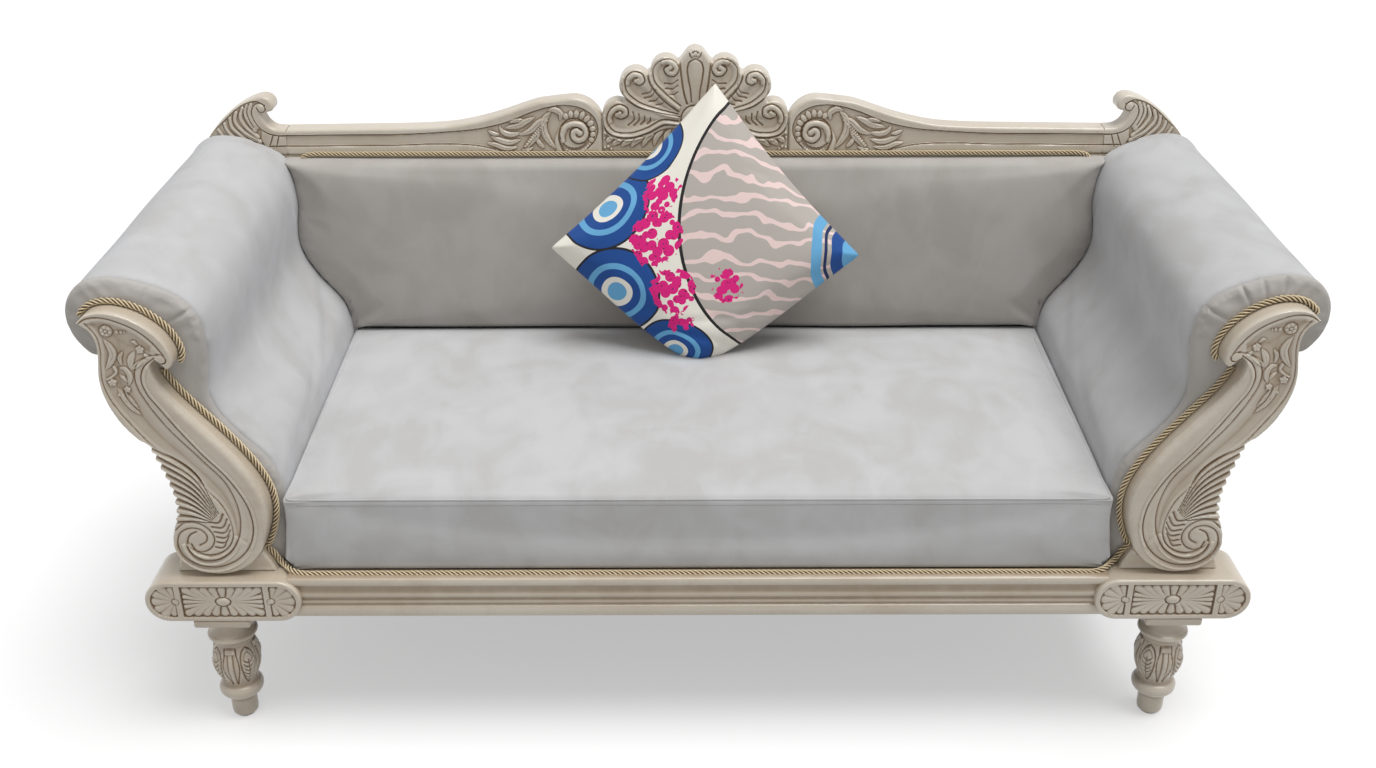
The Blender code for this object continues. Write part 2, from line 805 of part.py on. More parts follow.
# Flared plinth that the scroll stands in: its inner toe, the bed that follows
# the foot of the scroll, and its outer toe
def plinth_outline():
    foot = smooth(SCROLL_FOOT)
    bed = offset(foot, CLEARANCE)
    below = np.flatnonzero(bed[:, 1] < foot[0, 1] - SCROLL_EDGE)
    bed = bed[below[0] : below[-1] + 1]
    inner_toe = (bed[0, 0] - PLINTH_INNER_FLARE, CLEARANCE)
    outer_toe = (bed[-1, 0] + PLINTH_OUTER_FLARE, CLEARANCE)
    return np.vstack([inner_toe, bed, outer_toe])


def arm_plinth(side_name, side):
    place = (side * arm_x, SCROLL_SETBACK + PLINTH_SETBACK, rail_top)
    thickness = SCROLL_THICKNESS - PLINTH_SETBACK
    outline = plinth_outline() * (side, 1)
    board(f"arm_plinth_{side_name}", outline, 0.0, thickness, show_wood, place)


# Upholstered front of the arm, behind the scroll
def arm_border(side_name, side):
    foot = np.array([(ARM_OUTSIDE[-1][0], CLEARANCE), (ARM_FACE[0][0], CLEARANCE)])
    outline = joined(arm_face, arm_outside, foot)
    place = (side * arm_x, border_front, rail_top)
    item = board(
        f"arm_border_{side_name}", outline * (side, 1), 0.0, BORDER_THICKNESS, velvet, place
    )
    round_edges(item, BORDER_EDGE)


def arm_pad(side_name, side):
    inner = offset(arm_face, ARM_PAD_THICKNESS)
    outline = joined(arm_face, inner[::-1])
    place = (side * arm_x, pad_front, rail_top)
    length = BACK_FOOT - pad_front
    item = board(f"arm_pad_{side_name}", outline * (side, 1), 0.0, length, velvet, place)
    meet_back(item, side, CLEARANCE)


def arm_outside_panel(side_name, side):
    inner = offset(arm_outside, ARM_OUTSIDE_THICKNESS)
    outline = joined(arm_outside, inner[::-1])
    place = (side * arm_x, pad_front, rail_top)
    length = BACK_FOOT - pad_front
    item = board(f"arm_outside_{side_name}", outline * (side, 1), 0.0, length, velvet, place)
    meet_back(item, side, CLEARANCE)


# Board that closes the rear end of the arm inside the pad and the outside panel
def arm_rib(side_name, side):
    inside = offset(arm_face, ARM_PAD_THICKNESS + ARM_RIB_CLEARANCE)
    outside = offset(arm_outside, ARM_OUTSIDE_THICKNESS + ARM_RIB_CLEARANCE)
    foot = np.array([(outside[-1, 0], CLEARANCE), (inside[0, 0], CLEARANCE)])
    outline = joined(inside, outside, foot) * (1, arm_rear_stretch) + (ARM_SPLAY, 0)
    place = (side * arm_x, BACK_FOOT - CLEARANCE, rail_top)
    name = f"arm_rib_{side_name}"
    item = board(name, outline * (side, 1), -ARM_RIB_THICKNESS, ARM_RIB_THICKNESS, frame_wood, place)
    lean_back(item)


def arm_rail(side_name, side):
    low = (ARM_RAIL_OUT, pad_front, ARM_RAIL_UP)
    high = (ARM_RAIL_OUT + ARM_RAIL_WIDTH, BACK_FOOT, ARM_RAIL_UP + ARM_RAIL_HEIGHT)
    name = f"arm_rail_{side_name}"
    item = box(name, low, high, frame_wood, (side * arm_x, 0.0, rail_top))
    if side < 0:
        item.data.transform(Matrix.Translation((-2 * ARM_RAIL_OUT - ARM_RAIL_WIDTH, 0.0, 0.0)))
    meet_back(item, side, ARM_RIB_THICKNESS + 2 * CLEARANCE)


# A box of the back, given across, behind the plane of the back, and up
def back_box(name, low, high, material):
    return lean_back(box(name, low, high, material, (0.0, BACK_FOOT, rail_top)))


def back_frame():
    post_x = side_rail_x
    half = BACK_FRAME_WIDTH / 2
    top = CREST_FOOT - CLEARANCE
    depth = BACK_FRAME_THICKNESS
    for side_name, side in sides:
        low = (side * post_x - half, 0.0, CLEARANCE)
        high = (side * post_x + half, depth, top)
        back_box(f"back_post_{side_name}", low, high, frame_wood)
    span = post_x - half - CLEARANCE
    lower_top = back_pad_foot + BACK_FRAME_WIDTH
    upper_foot = top - BACK_FRAME_WIDTH
    back_box("back_lower_rail", (-span, 0.0, back_pad_foot), (span, depth, lower_top), frame_wood)
    back_box("back_top_rail", (-span, 0.0, upper_foot), (span, depth, top), frame_wood)
    for side_name, side in sides:
        centre = side * BACK_STILE_SPACING / 2
        low = (centre - half, 0.0, lower_top + CLEARANCE)
        high = (centre + half, depth, upper_foot - CLEARANCE)
        back_box(f"back_stile_{side_name}", low, high, frame_wood)
    first = -BACK_WEB_SPACING * (BACK_WEB_COUNT - 1) / 2
    for number in range(BACK_WEB_COUNT):
        centre = first + number * BACK_WEB_SPACING
        low = (centre - WEB_WIDTH / 2, -CLEARANCE - WEB_THICKNESS, back_pad_foot)
        high = (centre + WEB_WIDTH / 2, -CLEARANCE, top - BACK_FRAME_WIDTH + WEB_TACK)
        back_box(f"back_web_{number + 1}", low, high, webbing)


def back_outside():
    half = side_rail_x + BACK_FRAME_WIDTH / 2
    front = BACK_FRAME_THICKNESS + CLEARANCE
    low = (-half, front, CLEARANCE)
    high = (half, front + BACK_OUTSIDE_THICKNESS, CREST_FOOT - CLEARANCE)
    back_box("back_outside", low, high, velvet)


# The back pad stands on the rear edge of the seat, between the arms
def back_pad():
    bottom = back_pad_foot + CLEARANCE
    top = CREST_FOOT - CLEARANCE
    front = back_pad_rear - BACK_PAD_THICKNESS
    up = cage_places(bottom, top, BACK_PAD_EDGE_ROLL, BACK_PAD_ROWS)
    through = (front, (front + back_pad_rear) / 2, back_pad_rear)
    share = cage_places(-1.0, 1.0, BACK_PAD_EDGE_ROLL / arm_x, BACK_PAD_COLUMNS)

    def shape_at(i, j, k):
        half = arm_x + arm_rear_face_at(up[k]) - BACK_PAD_SIDE_GAP
        depth = through[j]
        if j == 0:
            depth -= BACK_PAD_CROWN * crown(share[i], -1.0, 1.0) * crown(up[k], bottom, top)
        return half * share[i], depth + up[k] * lean_slope, up[k]

    cells = (BACK_PAD_COLUMNS, len(through) - 1, BACK_PAD_ROWS)
    return stuffed("back_pad", cells, shape_at, velvet, (0.0, BACK_FOOT, rail_top))


def crest_board(name, outline):
    place = (0.0, BACK_FOOT, rail_top + CREST_FOOT)
    item = board(name, outline, 0.0, CREST_THICKNESS, show_wood, place)
    lean_back(item)
    round_edges(item, CREST_EDGE)
    return item


def crest_palmette():
    tip = np.array([(0.0, PALMETTE_RISE), PALMETTE_SHOULDER, PALMETTE_CUSP])
    stretches = [smooth(tip, PALMETTE_ARC_STEPS)]
    for across, up, radius, first, last in PALMETTE_LOBES:
        stretches.append(arc((across, up), radius, first, last, PALMETTE_ARC_STEPS))
    half = np.vstack(stretches + [(CREST_SPLIT - CLEARANCE, 0.0)])
    half[:, 0] = np.minimum(half[:, 0], CREST_SPLIT - CLEARANCE)
    other_half = half[:0:-1] * (-1, 1)
    return crest_board("crest_palmette", np.vstack([half, other_half]))


def crest_rail(side_name, side):
    volute = arc(VOLUTE_CENTRE, VOLUTE_RADIUS, VOLUTE_START, VOLUTE_END, PALMETTE_ARC_STEPS)
    volute[:, 0] = np.maximum(volute[:, 0], CREST_SPLIT)
    ear_start = np.array(EAR_RISE[0]) + (arm_x, 0)
    top = smooth(np.vstack([CREST_TOP, ear_start]))
    foot = [(ear_start[0], 0.0), (CREST_SPLIT, 0.0)]
    crest_board(f"crest_rail_{side_name}", np.vstack([volute, top, foot]) * (side, 1))


def crest_ear(side_name, side):
    outline = joined(smooth(EAR_RISE), smooth(EAR_CURL))
    foot = [(EAR_CURL[-1][0], 0.0), (EAR_RISE[0][0], 0.0)]
    outline = np.vstack([outline, foot]) + (arm_x + CLEARANCE, 0)
    crest_board(f"crest_ear_{side_name}", outline * (side, 1))


# Rope along the top of the scroll, against the border behind it
def arm_rope(side_name, side):
    path = offset(smooth(SCROLL_TOP[:-2]), ROPE_RADIUS + 2 * CLEARANCE)
    y = border_front - ROPE_RADIUS - CLEARANCE
    points = [(side * (arm_x + out), y, rail_top + up) for out, up in path]
    tube(f"arm_rope_{side_name}", points, ROPE_RADIUS, rope_cord)


# Rope down the inner edge of one scroll and its plinth, along the foot of the
# seat front and up the other scroll
def front_rope():
    toe, flank_top = plinth_outline()[:2]
    edge = joined(smooth(SCROLL_INNER[2:]), np.array([flank_top, (flank_top + toe) / 2]))
    path = offset(edge, ROPE_RADIUS + 2 * CLEARANCE)
    y = border_front - ROPE_RADIUS - CLEARANCE
    seat_y = SEAT_FRONT - SEAT_FRONT_FLARE - ROPE_RADIUS - CLEARANCE
    low = rail_top + ROPE_RADIUS + CLEARANCE
    half = [(arm_x + out, y, rail_top + up) for out, up in path]
    turn_x = half[-1][0]
    half += [
        (turn_x - across, y + forward * (seat_y - y), low + up)
        for across, forward, up in FRONT_ROPE_TURN
    ]
    other_half = [(-x, y, z) for x, y, z in reversed(half)]
    tube("front_rope", half + other_half, ROPE_RADIUS, rope_cord)


# Rope along the top of the back pad, which stops short of the arms
def back_rope():
    up = CREST_FOOT + ROPE_RADIUS
    half = arm_x + arm_rear_face_at(CREST_FOOT) - ROPE_RADIUS - BACK_ROPE_STOP
    depth = -ROPE_RADIUS - CLEARANCE
    y = BACK_FOOT + depth + up * lean_slope
    points = [(-half, y, rail_top + up), (half, y, rail_top + up)]
    tube("back_rope", points, ROPE_RADIUS, rope_cord)


# Moves a piece along a direction until it is one clearance from the supports
def push_against(item, supports, direction):
    bpy.context.view_layer.update()
    graph = bpy.context.evaluated_depsgraph_get()
    mesh = item.evaluated_get(graph).to_mesh()
    corners = [item.matrix_world @ vertex.co for vertex in mesh.vertices]
    gaps = []
    for support in supports:
        for corner in corners:
            start = corner - support.location
            found, spot, normal, face = support.ray_cast(start, direction, depsgraph=graph)
            if found:
                gaps.append((spot - start).dot(direction))
    item.location += direction * (min(gaps) - 2 * CLEARANCE)


# A square cushion on one corner, with the lowest corner pushed in by the seat.
# It settles down onto the seat and back against the back pad and the crest.
def scatter_cushion(seat, pad, palmette):
    half = CUSHION_SIDE / 2
    share = np.linspace(-1.0, 1.0, CUSHION_CELLS + 1)

    def shape_at(i, j, k):
        p, q = share[i], share[k]
        across = half * p * (1 - CUSHION_DRAW_IN * (1 - q * q) * abs(p))
        along = half * q * (1 - CUSHION_DRAW_IN * (1 - p * p) * abs(q))
        right = (across - along) / math.sqrt(2)
        up = (across + along) / math.sqrt(2)
        reach = max(0.0, -up / (half * math.sqrt(2)))
        up *= 1 - CUSHION_SQUASH * reach * reach
        swell = CUSHION_EDGE + (CUSHION_THICKNESS - CUSHION_EDGE) * math.sqrt((1 - p**2) * (1 - q**2))
        through = swell / 2 * (1 if j else -1)
        return right, through, up

    item = stuffed("scatter_cushion", (CUSHION_CELLS, 1, CUSHION_CELLS), shape_at, cushion_cloth)
    turn = Matrix.Rotation(-CUSHION_LEAN, 4, "X") @ Matrix.Rotation(CUSHION_TILT, 4, "Y")
    item.rotation_euler = turn.to_euler()
    item.location = (CUSHION_ACROSS, SEAT_FRONT + CUSHION_SIDE / 2, SEAT_HEIGHT + CUSHION_SIDE)
    for settle in range(CUSHION_SETTLES):
        push_against(item, (seat,), Vector((0.0, 0.0, -1.0)))
        push_against(item, (pad, palmette), Vector((0.0, 1.0, 0.0)))
    push_against(item, (seat,), Vector((0.0, 0.0, -1.0)))


def centre_depth():
    crest_rear = BACK_FOOT + CREST_THICKNESS + (CREST_FOOT + PALMETTE_RISE) * lean_slope
    leg_rear = rear_leg_y + REAR_LEG_RAKE + REAR_LEG_FOOT / 2
    depth = max(crest_rear, leg_rear)
    for item in list(parts.objects) + list(cutters.objects):
        item.location.y -= depth / 2


front_rail()
rear_rail()
seat_webs()
seat = seat_pad()
dust_cover()
for side_name, side in sides:
    corner_block(side_name, side)
    side_rail(side_name, side)
    seat_brace(side_name, side)
    glue_block(side_name, side)
    front_leg(side_name, side)
    rear_leg(side_name, side)
    arm_scroll(side_name, side)
    arm_plinth(side_name, side)
    arm_border(side_name, side)
    arm_pad(side_name, side)
    arm_outside_panel(side_name, side)
    arm_rib(side_name, side)
    arm_rail(side_name, side)
    crest_rail(side_name, side)
    crest_ear(side_name, side)
    arm_rope(side_name, side)
back_frame()
back_outside()
pad = back_pad()
palmette = crest_palmette()
front_rope()
back_rope()
scatter_cushion(seat, pad, palmette)
centre_depth()
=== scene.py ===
import math

import bmesh
import bpy
import numpy as np
from mathutils import Matrix, Vector, geometry
from mathutils.bvhtree import BVHTree


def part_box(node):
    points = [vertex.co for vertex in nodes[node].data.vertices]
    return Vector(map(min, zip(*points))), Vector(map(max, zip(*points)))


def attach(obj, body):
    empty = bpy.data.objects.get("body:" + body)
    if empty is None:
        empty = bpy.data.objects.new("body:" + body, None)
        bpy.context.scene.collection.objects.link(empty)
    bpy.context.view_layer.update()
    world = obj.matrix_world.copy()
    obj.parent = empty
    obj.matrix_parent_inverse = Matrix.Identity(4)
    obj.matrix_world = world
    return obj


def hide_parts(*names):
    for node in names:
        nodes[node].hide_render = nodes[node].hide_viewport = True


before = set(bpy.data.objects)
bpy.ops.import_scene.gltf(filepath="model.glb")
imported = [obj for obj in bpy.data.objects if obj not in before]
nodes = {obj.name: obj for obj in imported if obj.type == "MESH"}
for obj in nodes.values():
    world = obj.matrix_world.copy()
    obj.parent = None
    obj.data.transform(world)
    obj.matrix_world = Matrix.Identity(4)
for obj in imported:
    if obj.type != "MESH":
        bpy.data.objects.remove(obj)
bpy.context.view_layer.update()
scene = bpy.context.scene
scene.view_settings.view_transform = "Standard"

# Places that every piece is set from
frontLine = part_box("corner_block_right")[0].y
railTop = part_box("corner_block_right")[1].z
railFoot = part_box("corner_block_right")[0].z
settee = {
    "seatSide": 0.711,  # half the seat's width, where the arms start
    "backFoot": 0.760,  # back plane behind the front line, at the rails' top
    "backLean": math.tan(math.radians(8.0)),
}


def backPlane(up):
    return frontLine + settee["backFoot"] + (up - railTop) * settee["backLean"]


def linked(name, data):
    piece = bpy.data.objects.new(name, data)
    scene.collection.objects.link(piece)
    return piece


# Camera, as the photograph was taken
shot = {
    "eye": (-0.0196, -2.5788, 1.7715),
    "yaw": 0.07,
    "pitch": 26.75,
    "roll": -0.10,
    "focal": 1482.2,  # in pixels of the image's width
    "imageWidth": 1376,
}


def makeCamera():
    yaw, pitch, roll = (math.radians(shot[k]) for k in ("yaw", "pitch", "roll"))
    ahead = Vector((math.sin(yaw) * math.cos(pitch), math.cos(yaw) * math.cos(pitch), -math.sin(pitch)))
    level = Vector((math.cos(yaw), -math.sin(yaw), 0))
    upright = level.cross(ahead)
    right = level * math.cos(roll) + upright * math.sin(roll)
    up = upright * math.cos(roll) - level * math.sin(roll)
    data = bpy.data.cameras.new("camera")
    data.sensor_width = 36
    data.sensor_fit = "HORIZONTAL"
    data.lens = shot["focal"] * data.sensor_width / shot["imageWidth"]
    camera = linked("camera", data)
    turn = Matrix((right, up, -ahead)).transposed().to_4x4()
    camera.matrix_world = Matrix.Translation(shot["eye"]) @ turn
    scene.camera = camera


makeCamera()
print("camera set")


# Node trees: a wire is one socket, and sums on wires add Math nodes
def feed(tree, slot, value):
    if isinstance(value, Wire):
        tree.links.new(value.socket, slot)
    else:
        slot.default_value = value


def sumOf(operation, swapped=False):
    def method(self, other):
        return self.calc(operation, *((other, self) if swapped else (self, other)))
    return method


class Wire:
    def __init__(self, tree, socket):
        self.tree = tree
        self.socket = socket

    def calc(self, operation, first, second=0.0):
        node = self.tree.nodes.new("ShaderNodeMath")
        node.operation = operation
        for slot, value in zip(node.inputs, (first, second)):
            feed(self.tree, slot, value)
        return Wire(self.tree, node.outputs[0])

    __add__ = sumOf("ADD")
    __radd__ = sumOf("ADD", True)
    __sub__ = sumOf("SUBTRACT")
    __rsub__ = sumOf("SUBTRACT", True)
    __mul__ = sumOf("MULTIPLY")
    __rmul__ = sumOf("MULTIPLY", True)
    __truediv__ = sumOf("DIVIDE")
    __pow__ = sumOf("POWER")
    __lt__ = sumOf("LESS_THAN")
    __gt__ = sumOf("GREATER_THAN")


class NodeMaker:
    def __init__(self, tree):
        self.tree = tree

    def feed(self, slot, value):
        feed(self.tree, slot, value)

    def node(self, kind, settings=None, sockets=None, out=0):
        made = self.tree.nodes.new(kind)
        for key, value in (settings or {}).items():
            setattr(made, key, value)
        for key, value in (sockets or {}).items():
            self.feed(made.inputs[key], value)
        return Wire(self.tree, made.outputs[out])


class Finish(NodeMaker):
    def __init__(self, name, constants):
        self.material = bpy.data.materials.new(name)
        self.material.use_nodes = True
        super().__init__(self.material.node_tree)
        self.shader = self.tree.nodes["Principled BSDF"]
        for key, value in constants.items():
            self.shader.inputs[key].default_value = value

    def put(self, socket, wire):
        self.feed(self.shader.inputs[socket], wire)

    def coords(self, out="Object"):
        return self.node("ShaderNodeTexCoord", out=out)

    def stretched(self, scale, turn=(0, 0, 0), source=None):
        return self.node("ShaderNodeMapping", None, {
            "Vector": source or self.coords(), "Rotation": turn, "Scale": scale})

    def noise(self, scale, detail=3.0, source=None, distortion=0.0, roughness=0.5):
        return self.node("ShaderNodeTexNoise", None, {
            "Vector": source or self.coords(), "Scale": scale, "Detail": detail,
            "Roughness": roughness, "Distortion": distortion})

    def wave(self, direction, scale, distortion=0.0, source=None, more=None):
        return self.node("ShaderNodeTexWave", {"bands_direction": direction}, {
            "Vector": source or self.coords(), "Scale": scale, "Distortion": distortion, **(more or {})})

    def ramp(self, value, low, high, soft=True):
        kind = "SMOOTHSTEP" if soft else "LINEAR"
        return self.node("ShaderNodeMapRange", {"interpolation_type": kind, "clamp": True}, {
            "Value": value, "From Min": low, "From Max": high})

    def mix(self, share, first, second, how="MIX"):
        return self.node("ShaderNodeMix", {"data_type": "RGBA", "blend_type": how}, {
            0: share, 6: first, 7: second}, out=2)

    def attribute(self, name):
        return self.node("ShaderNodeAttribute", {"attribute_name": name}, out="Fac")

    def bump(self, height, strength, distance):
        return self.node("ShaderNodeBump", None, {
            "Height": height, "Strength": strength, "Distance": distance})


def paint(red, green, blue):
    # from the 0 to 255 of a screen to linear light
    line = [c / 255 for c in (red, green, blue)]
    return tuple(c / 12.92 if c <= 0.04045 else ((c + 0.055) / 1.055) ** 2.4 for c in line) + (1.0,)


# Limed paint with a brown glaze that stays in the carving
limedWood = {
    "cream": (208, 199, 183),
    "warmCream": (198, 186, 168),
    "glaze": (128, 104, 78),
    "wash": (164, 144, 118),
    "rubbed": (226, 220, 208),
    "roughness": 0.33,
    "driftScale": 4.0,
    "brushing": (14, 90, 90),
    "stainScale": 9.0,
    "stainShare": 0.30,
    "patchScale": 38.0,
    "wearScale": 170.0,
    "wearShare": 0.60,
}


def makeLimedWood():
    s = limedWood
    cream, warmCream, glaze, wash, rubbed = (
        paint(*s[k]) for k in ("cream", "warmCream", "glaze", "wash", "rubbed"))
    f = Finish("limed_wood", {"Specular IOR Level": 0.5, "Coat Roughness": 0.18})
    drift = f.noise(s["driftScale"], 4.0)
    brushed = f.noise(1.0, 3.0, f.stretched(s["brushing"]))
    ground = f.mix(f.ramp(0.75 * drift + 0.25 * brushed, 0.34, 0.66), warmCream, cream)
    stain = f.ramp(f.noise(s["stainScale"], 5.0, distortion=0.6), 0.52, 0.74)
    ground = f.mix(s["stainShare"] * stain, ground, wash)
    # thin brown wash lies over the hollows, and the glaze stays in the grooves
    patchy = f.noise(s["patchScale"], 3.0)
    washed = f.mix(f.attribute("hollow") * (0.45 + 0.7 * patchy), ground, wash)
    held = f.ramp(f.attribute("cavity") * (0.66 + 0.56 * patchy), 0.04, 0.95, soft=False)
    worn = f.attribute("ridge") * f.ramp(f.noise(s["wearScale"], 2.0), 0.2, 0.8)
    f.put("Base Color", f.mix(s["wearShare"] * worn, f.mix(held, washed, glaze), rubbed))
    f.put("Roughness", s["roughness"] + 0.22 * held + 0.08 * (f.noise(70.0) - 0.5))
    f.put("Coat Weight", 0.40 - 0.30 * held)
    f.put("Normal", f.bump(0.7 * f.noise(55.0, 3.0) + 0.3 * f.noise(420.0, 2.0), 0.05, 0.0010))
    return f.material


velvetSettings = {
    "pile": (193, 193, 193),
    "deep": (186, 185, 184),
    "nap": (199, 199, 200),
    "mottle": 5.5,
    "streaks": 14.0,
    "pileScale": 1500.0,
    "pileShare": 0.10,
    "upright": (0.93, 0.905, 0.875),  # painted shade: a darker, warmer copy of the velvet for the upright back pad and arm borders
}


def makeVelvet(name="velvet", shade=(1.0, 1.0, 1.0)):
    s = velvetSettings
    f = Finish(name, {
        "Sheen Weight": 0.45, "Sheen Roughness": 0.35, "Specular IOR Level": 0.15,
        "Sheen Tint": paint(224, 227, 236)})
    deep, pile, nap = (paint(*np.multiply(s[k], shade)) for k in ("deep", "pile", "nap"))
    broad = f.noise(s["mottle"], 5.0, distortion=1.2)
    streak = f.noise(s["streaks"], 4.0, f.stretched((1.0, 0.55, 0.7), (0, 0, 0.5)), distortion=0.8)
    brushed = f.ramp(0.6 * broad + 0.4 * streak, 0.33, 0.68)
    lit = f.mix(f.ramp(brushed, 0.45, 1.0), f.mix(f.ramp(brushed, 0.0, 0.55), deep, pile), nap)
    fine = f.noise(s["pileScale"], 2.0)
    hairs = f.mix(fine, paint(90, 89, 88), paint(240, 240, 240))
    f.put("Base Color", f.mix(s["pileShare"], lit, hairs))
    f.put("Roughness", 0.80 + 0.12 * brushed)
    f.put("Normal", f.bump(0.7 * fine + 0.3 * streak, 0.22, 0.0012))
    return f.material


ropeCord = {
    "gold": (222, 200, 156),
    "pale": (242, 228, 196),
    # painted shade: dark brown for the valleys between the strands
    "gap": (84, 58, 32),
    "radius": 0.0055,
    "lay": 0.0345,
    "strands": 4.0,
    "lobe": 0.25,
    "step": 0.0019,
    "yarnScale": 190.0,
    "yarnSkew": 0.0075,
}


def makeRopeFinish():
    s = ropeCord
    f = Finish("rope_cord", {"Sheen Weight": 0.15, "Specular IOR Level": 0.35})
    along = f.attribute("along") + f.attribute("round") * s["yarnSkew"]
    yarn = f.wave("X", s["yarnScale"], 0.6, f.node("ShaderNodeCombineXYZ", None, {"X": along}))
    # the valleys between the strands are painted dark, as shade
    shade = f.ramp(f.attribute("groove") + 0.12 * (f.noise(700.0) - 0.5), 0.12, 0.80)
    f.put("Base Color", f.mix(shade, paint(*s["gap"]), f.mix(yarn, paint(*s["gold"]), paint(*s["pale"]))))
    f.put("Roughness", 0.62 - 0.10 * yarn)
    f.put("Normal", f.bump(yarn, 0.35, 0.0006))
    return f.material


def makeThread():
    f = Finish("thread", {"Specular IOR Level": 0.2})
    f.put("Base Color", f.mix(f.noise(900.0), paint(124, 122, 120), paint(158, 156, 154)))
    f.put("Roughness", 0.60 + 0.2 * f.noise(500.0))
    return f.material


def makeFrameTimber():
    # plainer limed paint, for the rails and posts that show only at the sides and back
    f = Finish("frame_timber", {"Specular IOR Level": 0.4})
    drift = f.noise(5.0, 4.0, distortion=0.5)
    brushed = f.noise(1.0, 3.0, f.stretched((60.0, 60.0, 60.0)))
    tone = f.ramp(0.7 * drift + 0.3 * brushed, 0.36, 0.66)
    coat = f.mix(tone, paint(184, 170, 148), paint(204, 195, 178))
    f.put("Base Color", f.mix(0.18 * brushed, coat, paint(*limedWood["wash"])))
    f.put("Roughness", 0.44 + 0.14 * drift)
    f.put("Normal", f.bump(brushed, 0.10, 0.0006))
    return f.material


def makeWebbing():
    f = Finish("webbing", {"Specular IOR Level": 0.2})
    weave = 0.5 * f.wave("X", 130.0, 0.4) + 0.5 * f.wave("Y", 130.0, 0.4)
    jute = f.mix(weave, paint(120, 98, 66), paint(190, 166, 122))
    f.put("Base Color", f.mix(0.5 * f.ramp(f.wave("X", 10.0), 0.85, 0.95), jute, paint(70, 60, 50)))
    f.put("Roughness", 0.85 - 0.1 * weave)
    f.put("Normal", f.bump(weave, 0.5, 0.001))
    return f.material


def makeDustCloth():
    f = Finish("dust_cloth", {"Specular IOR Level": 0.1})
    spun = f.noise(420.0, 4.0, distortion=2.0)
    f.put("Base Color", f.mix(spun, paint(22, 22, 23), paint(58, 58, 60)))
    f.put("Roughness", 0.88 - 0.15 * spun)
    f.put("Normal", f.bump(spun, 0.4, 0.0006))
    return f.material


def makeNylon():
    f = Finish("nylon", {"Specular IOR Level": 0.5})
    scuff = f.noise(180.0, 4.0)
    f.put("Base Color", f.mix(f.ramp(scuff, 0.4, 0.7), paint(150, 146, 138), paint(196, 192, 184)))
    f.put("Roughness", 0.38 + 0.25 * scuff)
    f.put("Normal", f.bump(scuff, 0.15, 0.0005))
    return f.material


wood = makeLimedWood()
velvet = makeVelvet()
# painted shade: the same velvet made darker for the upright pieces
shadedUprightVelvet = makeVelvet("velvet_upright", velvetSettings["upright"])
ropeFinish = makeRopeFinish()
thread = makeThread()
timber = makeFrameTimber()
webbing = makeWebbing()
dustCloth = makeDustCloth()
nylon = makeNylon()
print("finishes made")


# Meshes from arrays, and how a finished piece joins the frame
def newPiece(name, points, faces, sharp=None, marks=None):
    mesh = bpy.data.meshes.new(name)
    mesh.from_pydata(np.asarray(points).tolist(), [], [list(map(int, face)) for face in faces])
    mesh.validate()
    tidy = bmesh.new()
    tidy.from_mesh(mesh)
    bmesh.ops.recalc_face_normals(tidy, faces=tidy.faces)
    tidy.to_mesh(mesh)
    tidy.free()
    mesh.shade_smooth()
    if sharp:
        mesh.set_sharp_from_angle(angle=math.radians(sharp))
    for key, values in (marks or {}).items():
        layer = mesh.attributes.new(key, "FLOAT", "POINT")
        layer.data.foreach_set("value", np.asarray(values, np.float32))
    return linked(name, mesh)


def wallFaces(near, far, count):
    ring = np.arange(count)
    ahead = (ring + 1) % count
    return np.stack([near + ring, far + ring, far + ahead, near + ahead], 1).tolist()


def tubeFaces(rows, count, first=0):
    # the walls between rings of points, and a lid for each end
    walls = []
    for near in range(first, first + (rows - 1) * count, count):
        walls += wallFaces(near, near + count, count)
    ring = np.arange(count)
    return walls, [(first + ring).tolist(), (first + (rows - 1) * count + ring[::-1]).tolist()]


def adopt(piece, finish, replaced=(), body="settee"):
    piece.data.materials.clear()
    piece.data.materials.append(finish)
    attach(piece, body)
    if replaced:
        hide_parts(*replaced)
    return piece


def asMesh(piece):
    plan = bpy.context.evaluated_depsgraph_get()
    made = bpy.data.meshes.new_from_object(piece.evaluated_get(plan))
    old = piece.data
    piece.modifiers.clear()
    piece.data = made
    bpy.data.meshes.remove(old)
    made.shade_smooth()
    return piece


def pointsOf(mesh):
    flat = np.empty(len(mesh.vertices) * 3)
    mesh.vertices.foreach_get("co", flat)
    return flat.reshape(-1, 3)


def normalsOf(mesh):
    flat = np.empty(len(mesh.vertices) * 3, np.float32)
    mesh.vertex_normals.foreach_get("vector", flat)
    return flat.reshape(-1, 3)


def edgesOf(mesh):
    flat = np.empty(len(mesh.edges) * 2, np.int32)
    mesh.edges.foreach_get("vertices", flat)
    return flat.reshape(-1, 2)


def setPoints(mesh, points):
    mesh.vertices.foreach_set("co", np.ascontiguousarray(points, np.float32).ravel())
    mesh.update()


def neighbourMean(values, edges):
    total = np.zeros(len(values))
    count = np.zeros(len(values))
    for a, b in ((0, 1), (1, 0)):
        total += np.bincount(edges[:, a], values[edges[:, b]], len(values))
        count += np.bincount(edges[:, a], minlength=len(values))
    return total / np.maximum(count, 1)


# Lines and outlines
def clamp(values):
    return np.clip(values, 0, 1)


def eased(share):
    return share * share * (3 - 2 * share)


def aim(angle):
    return np.array([math.cos(angle), math.sin(angle)])


def mm(*places):
    return np.array(places, float) / 1000


def dot(x, z):
    return mm((x, z))[0]


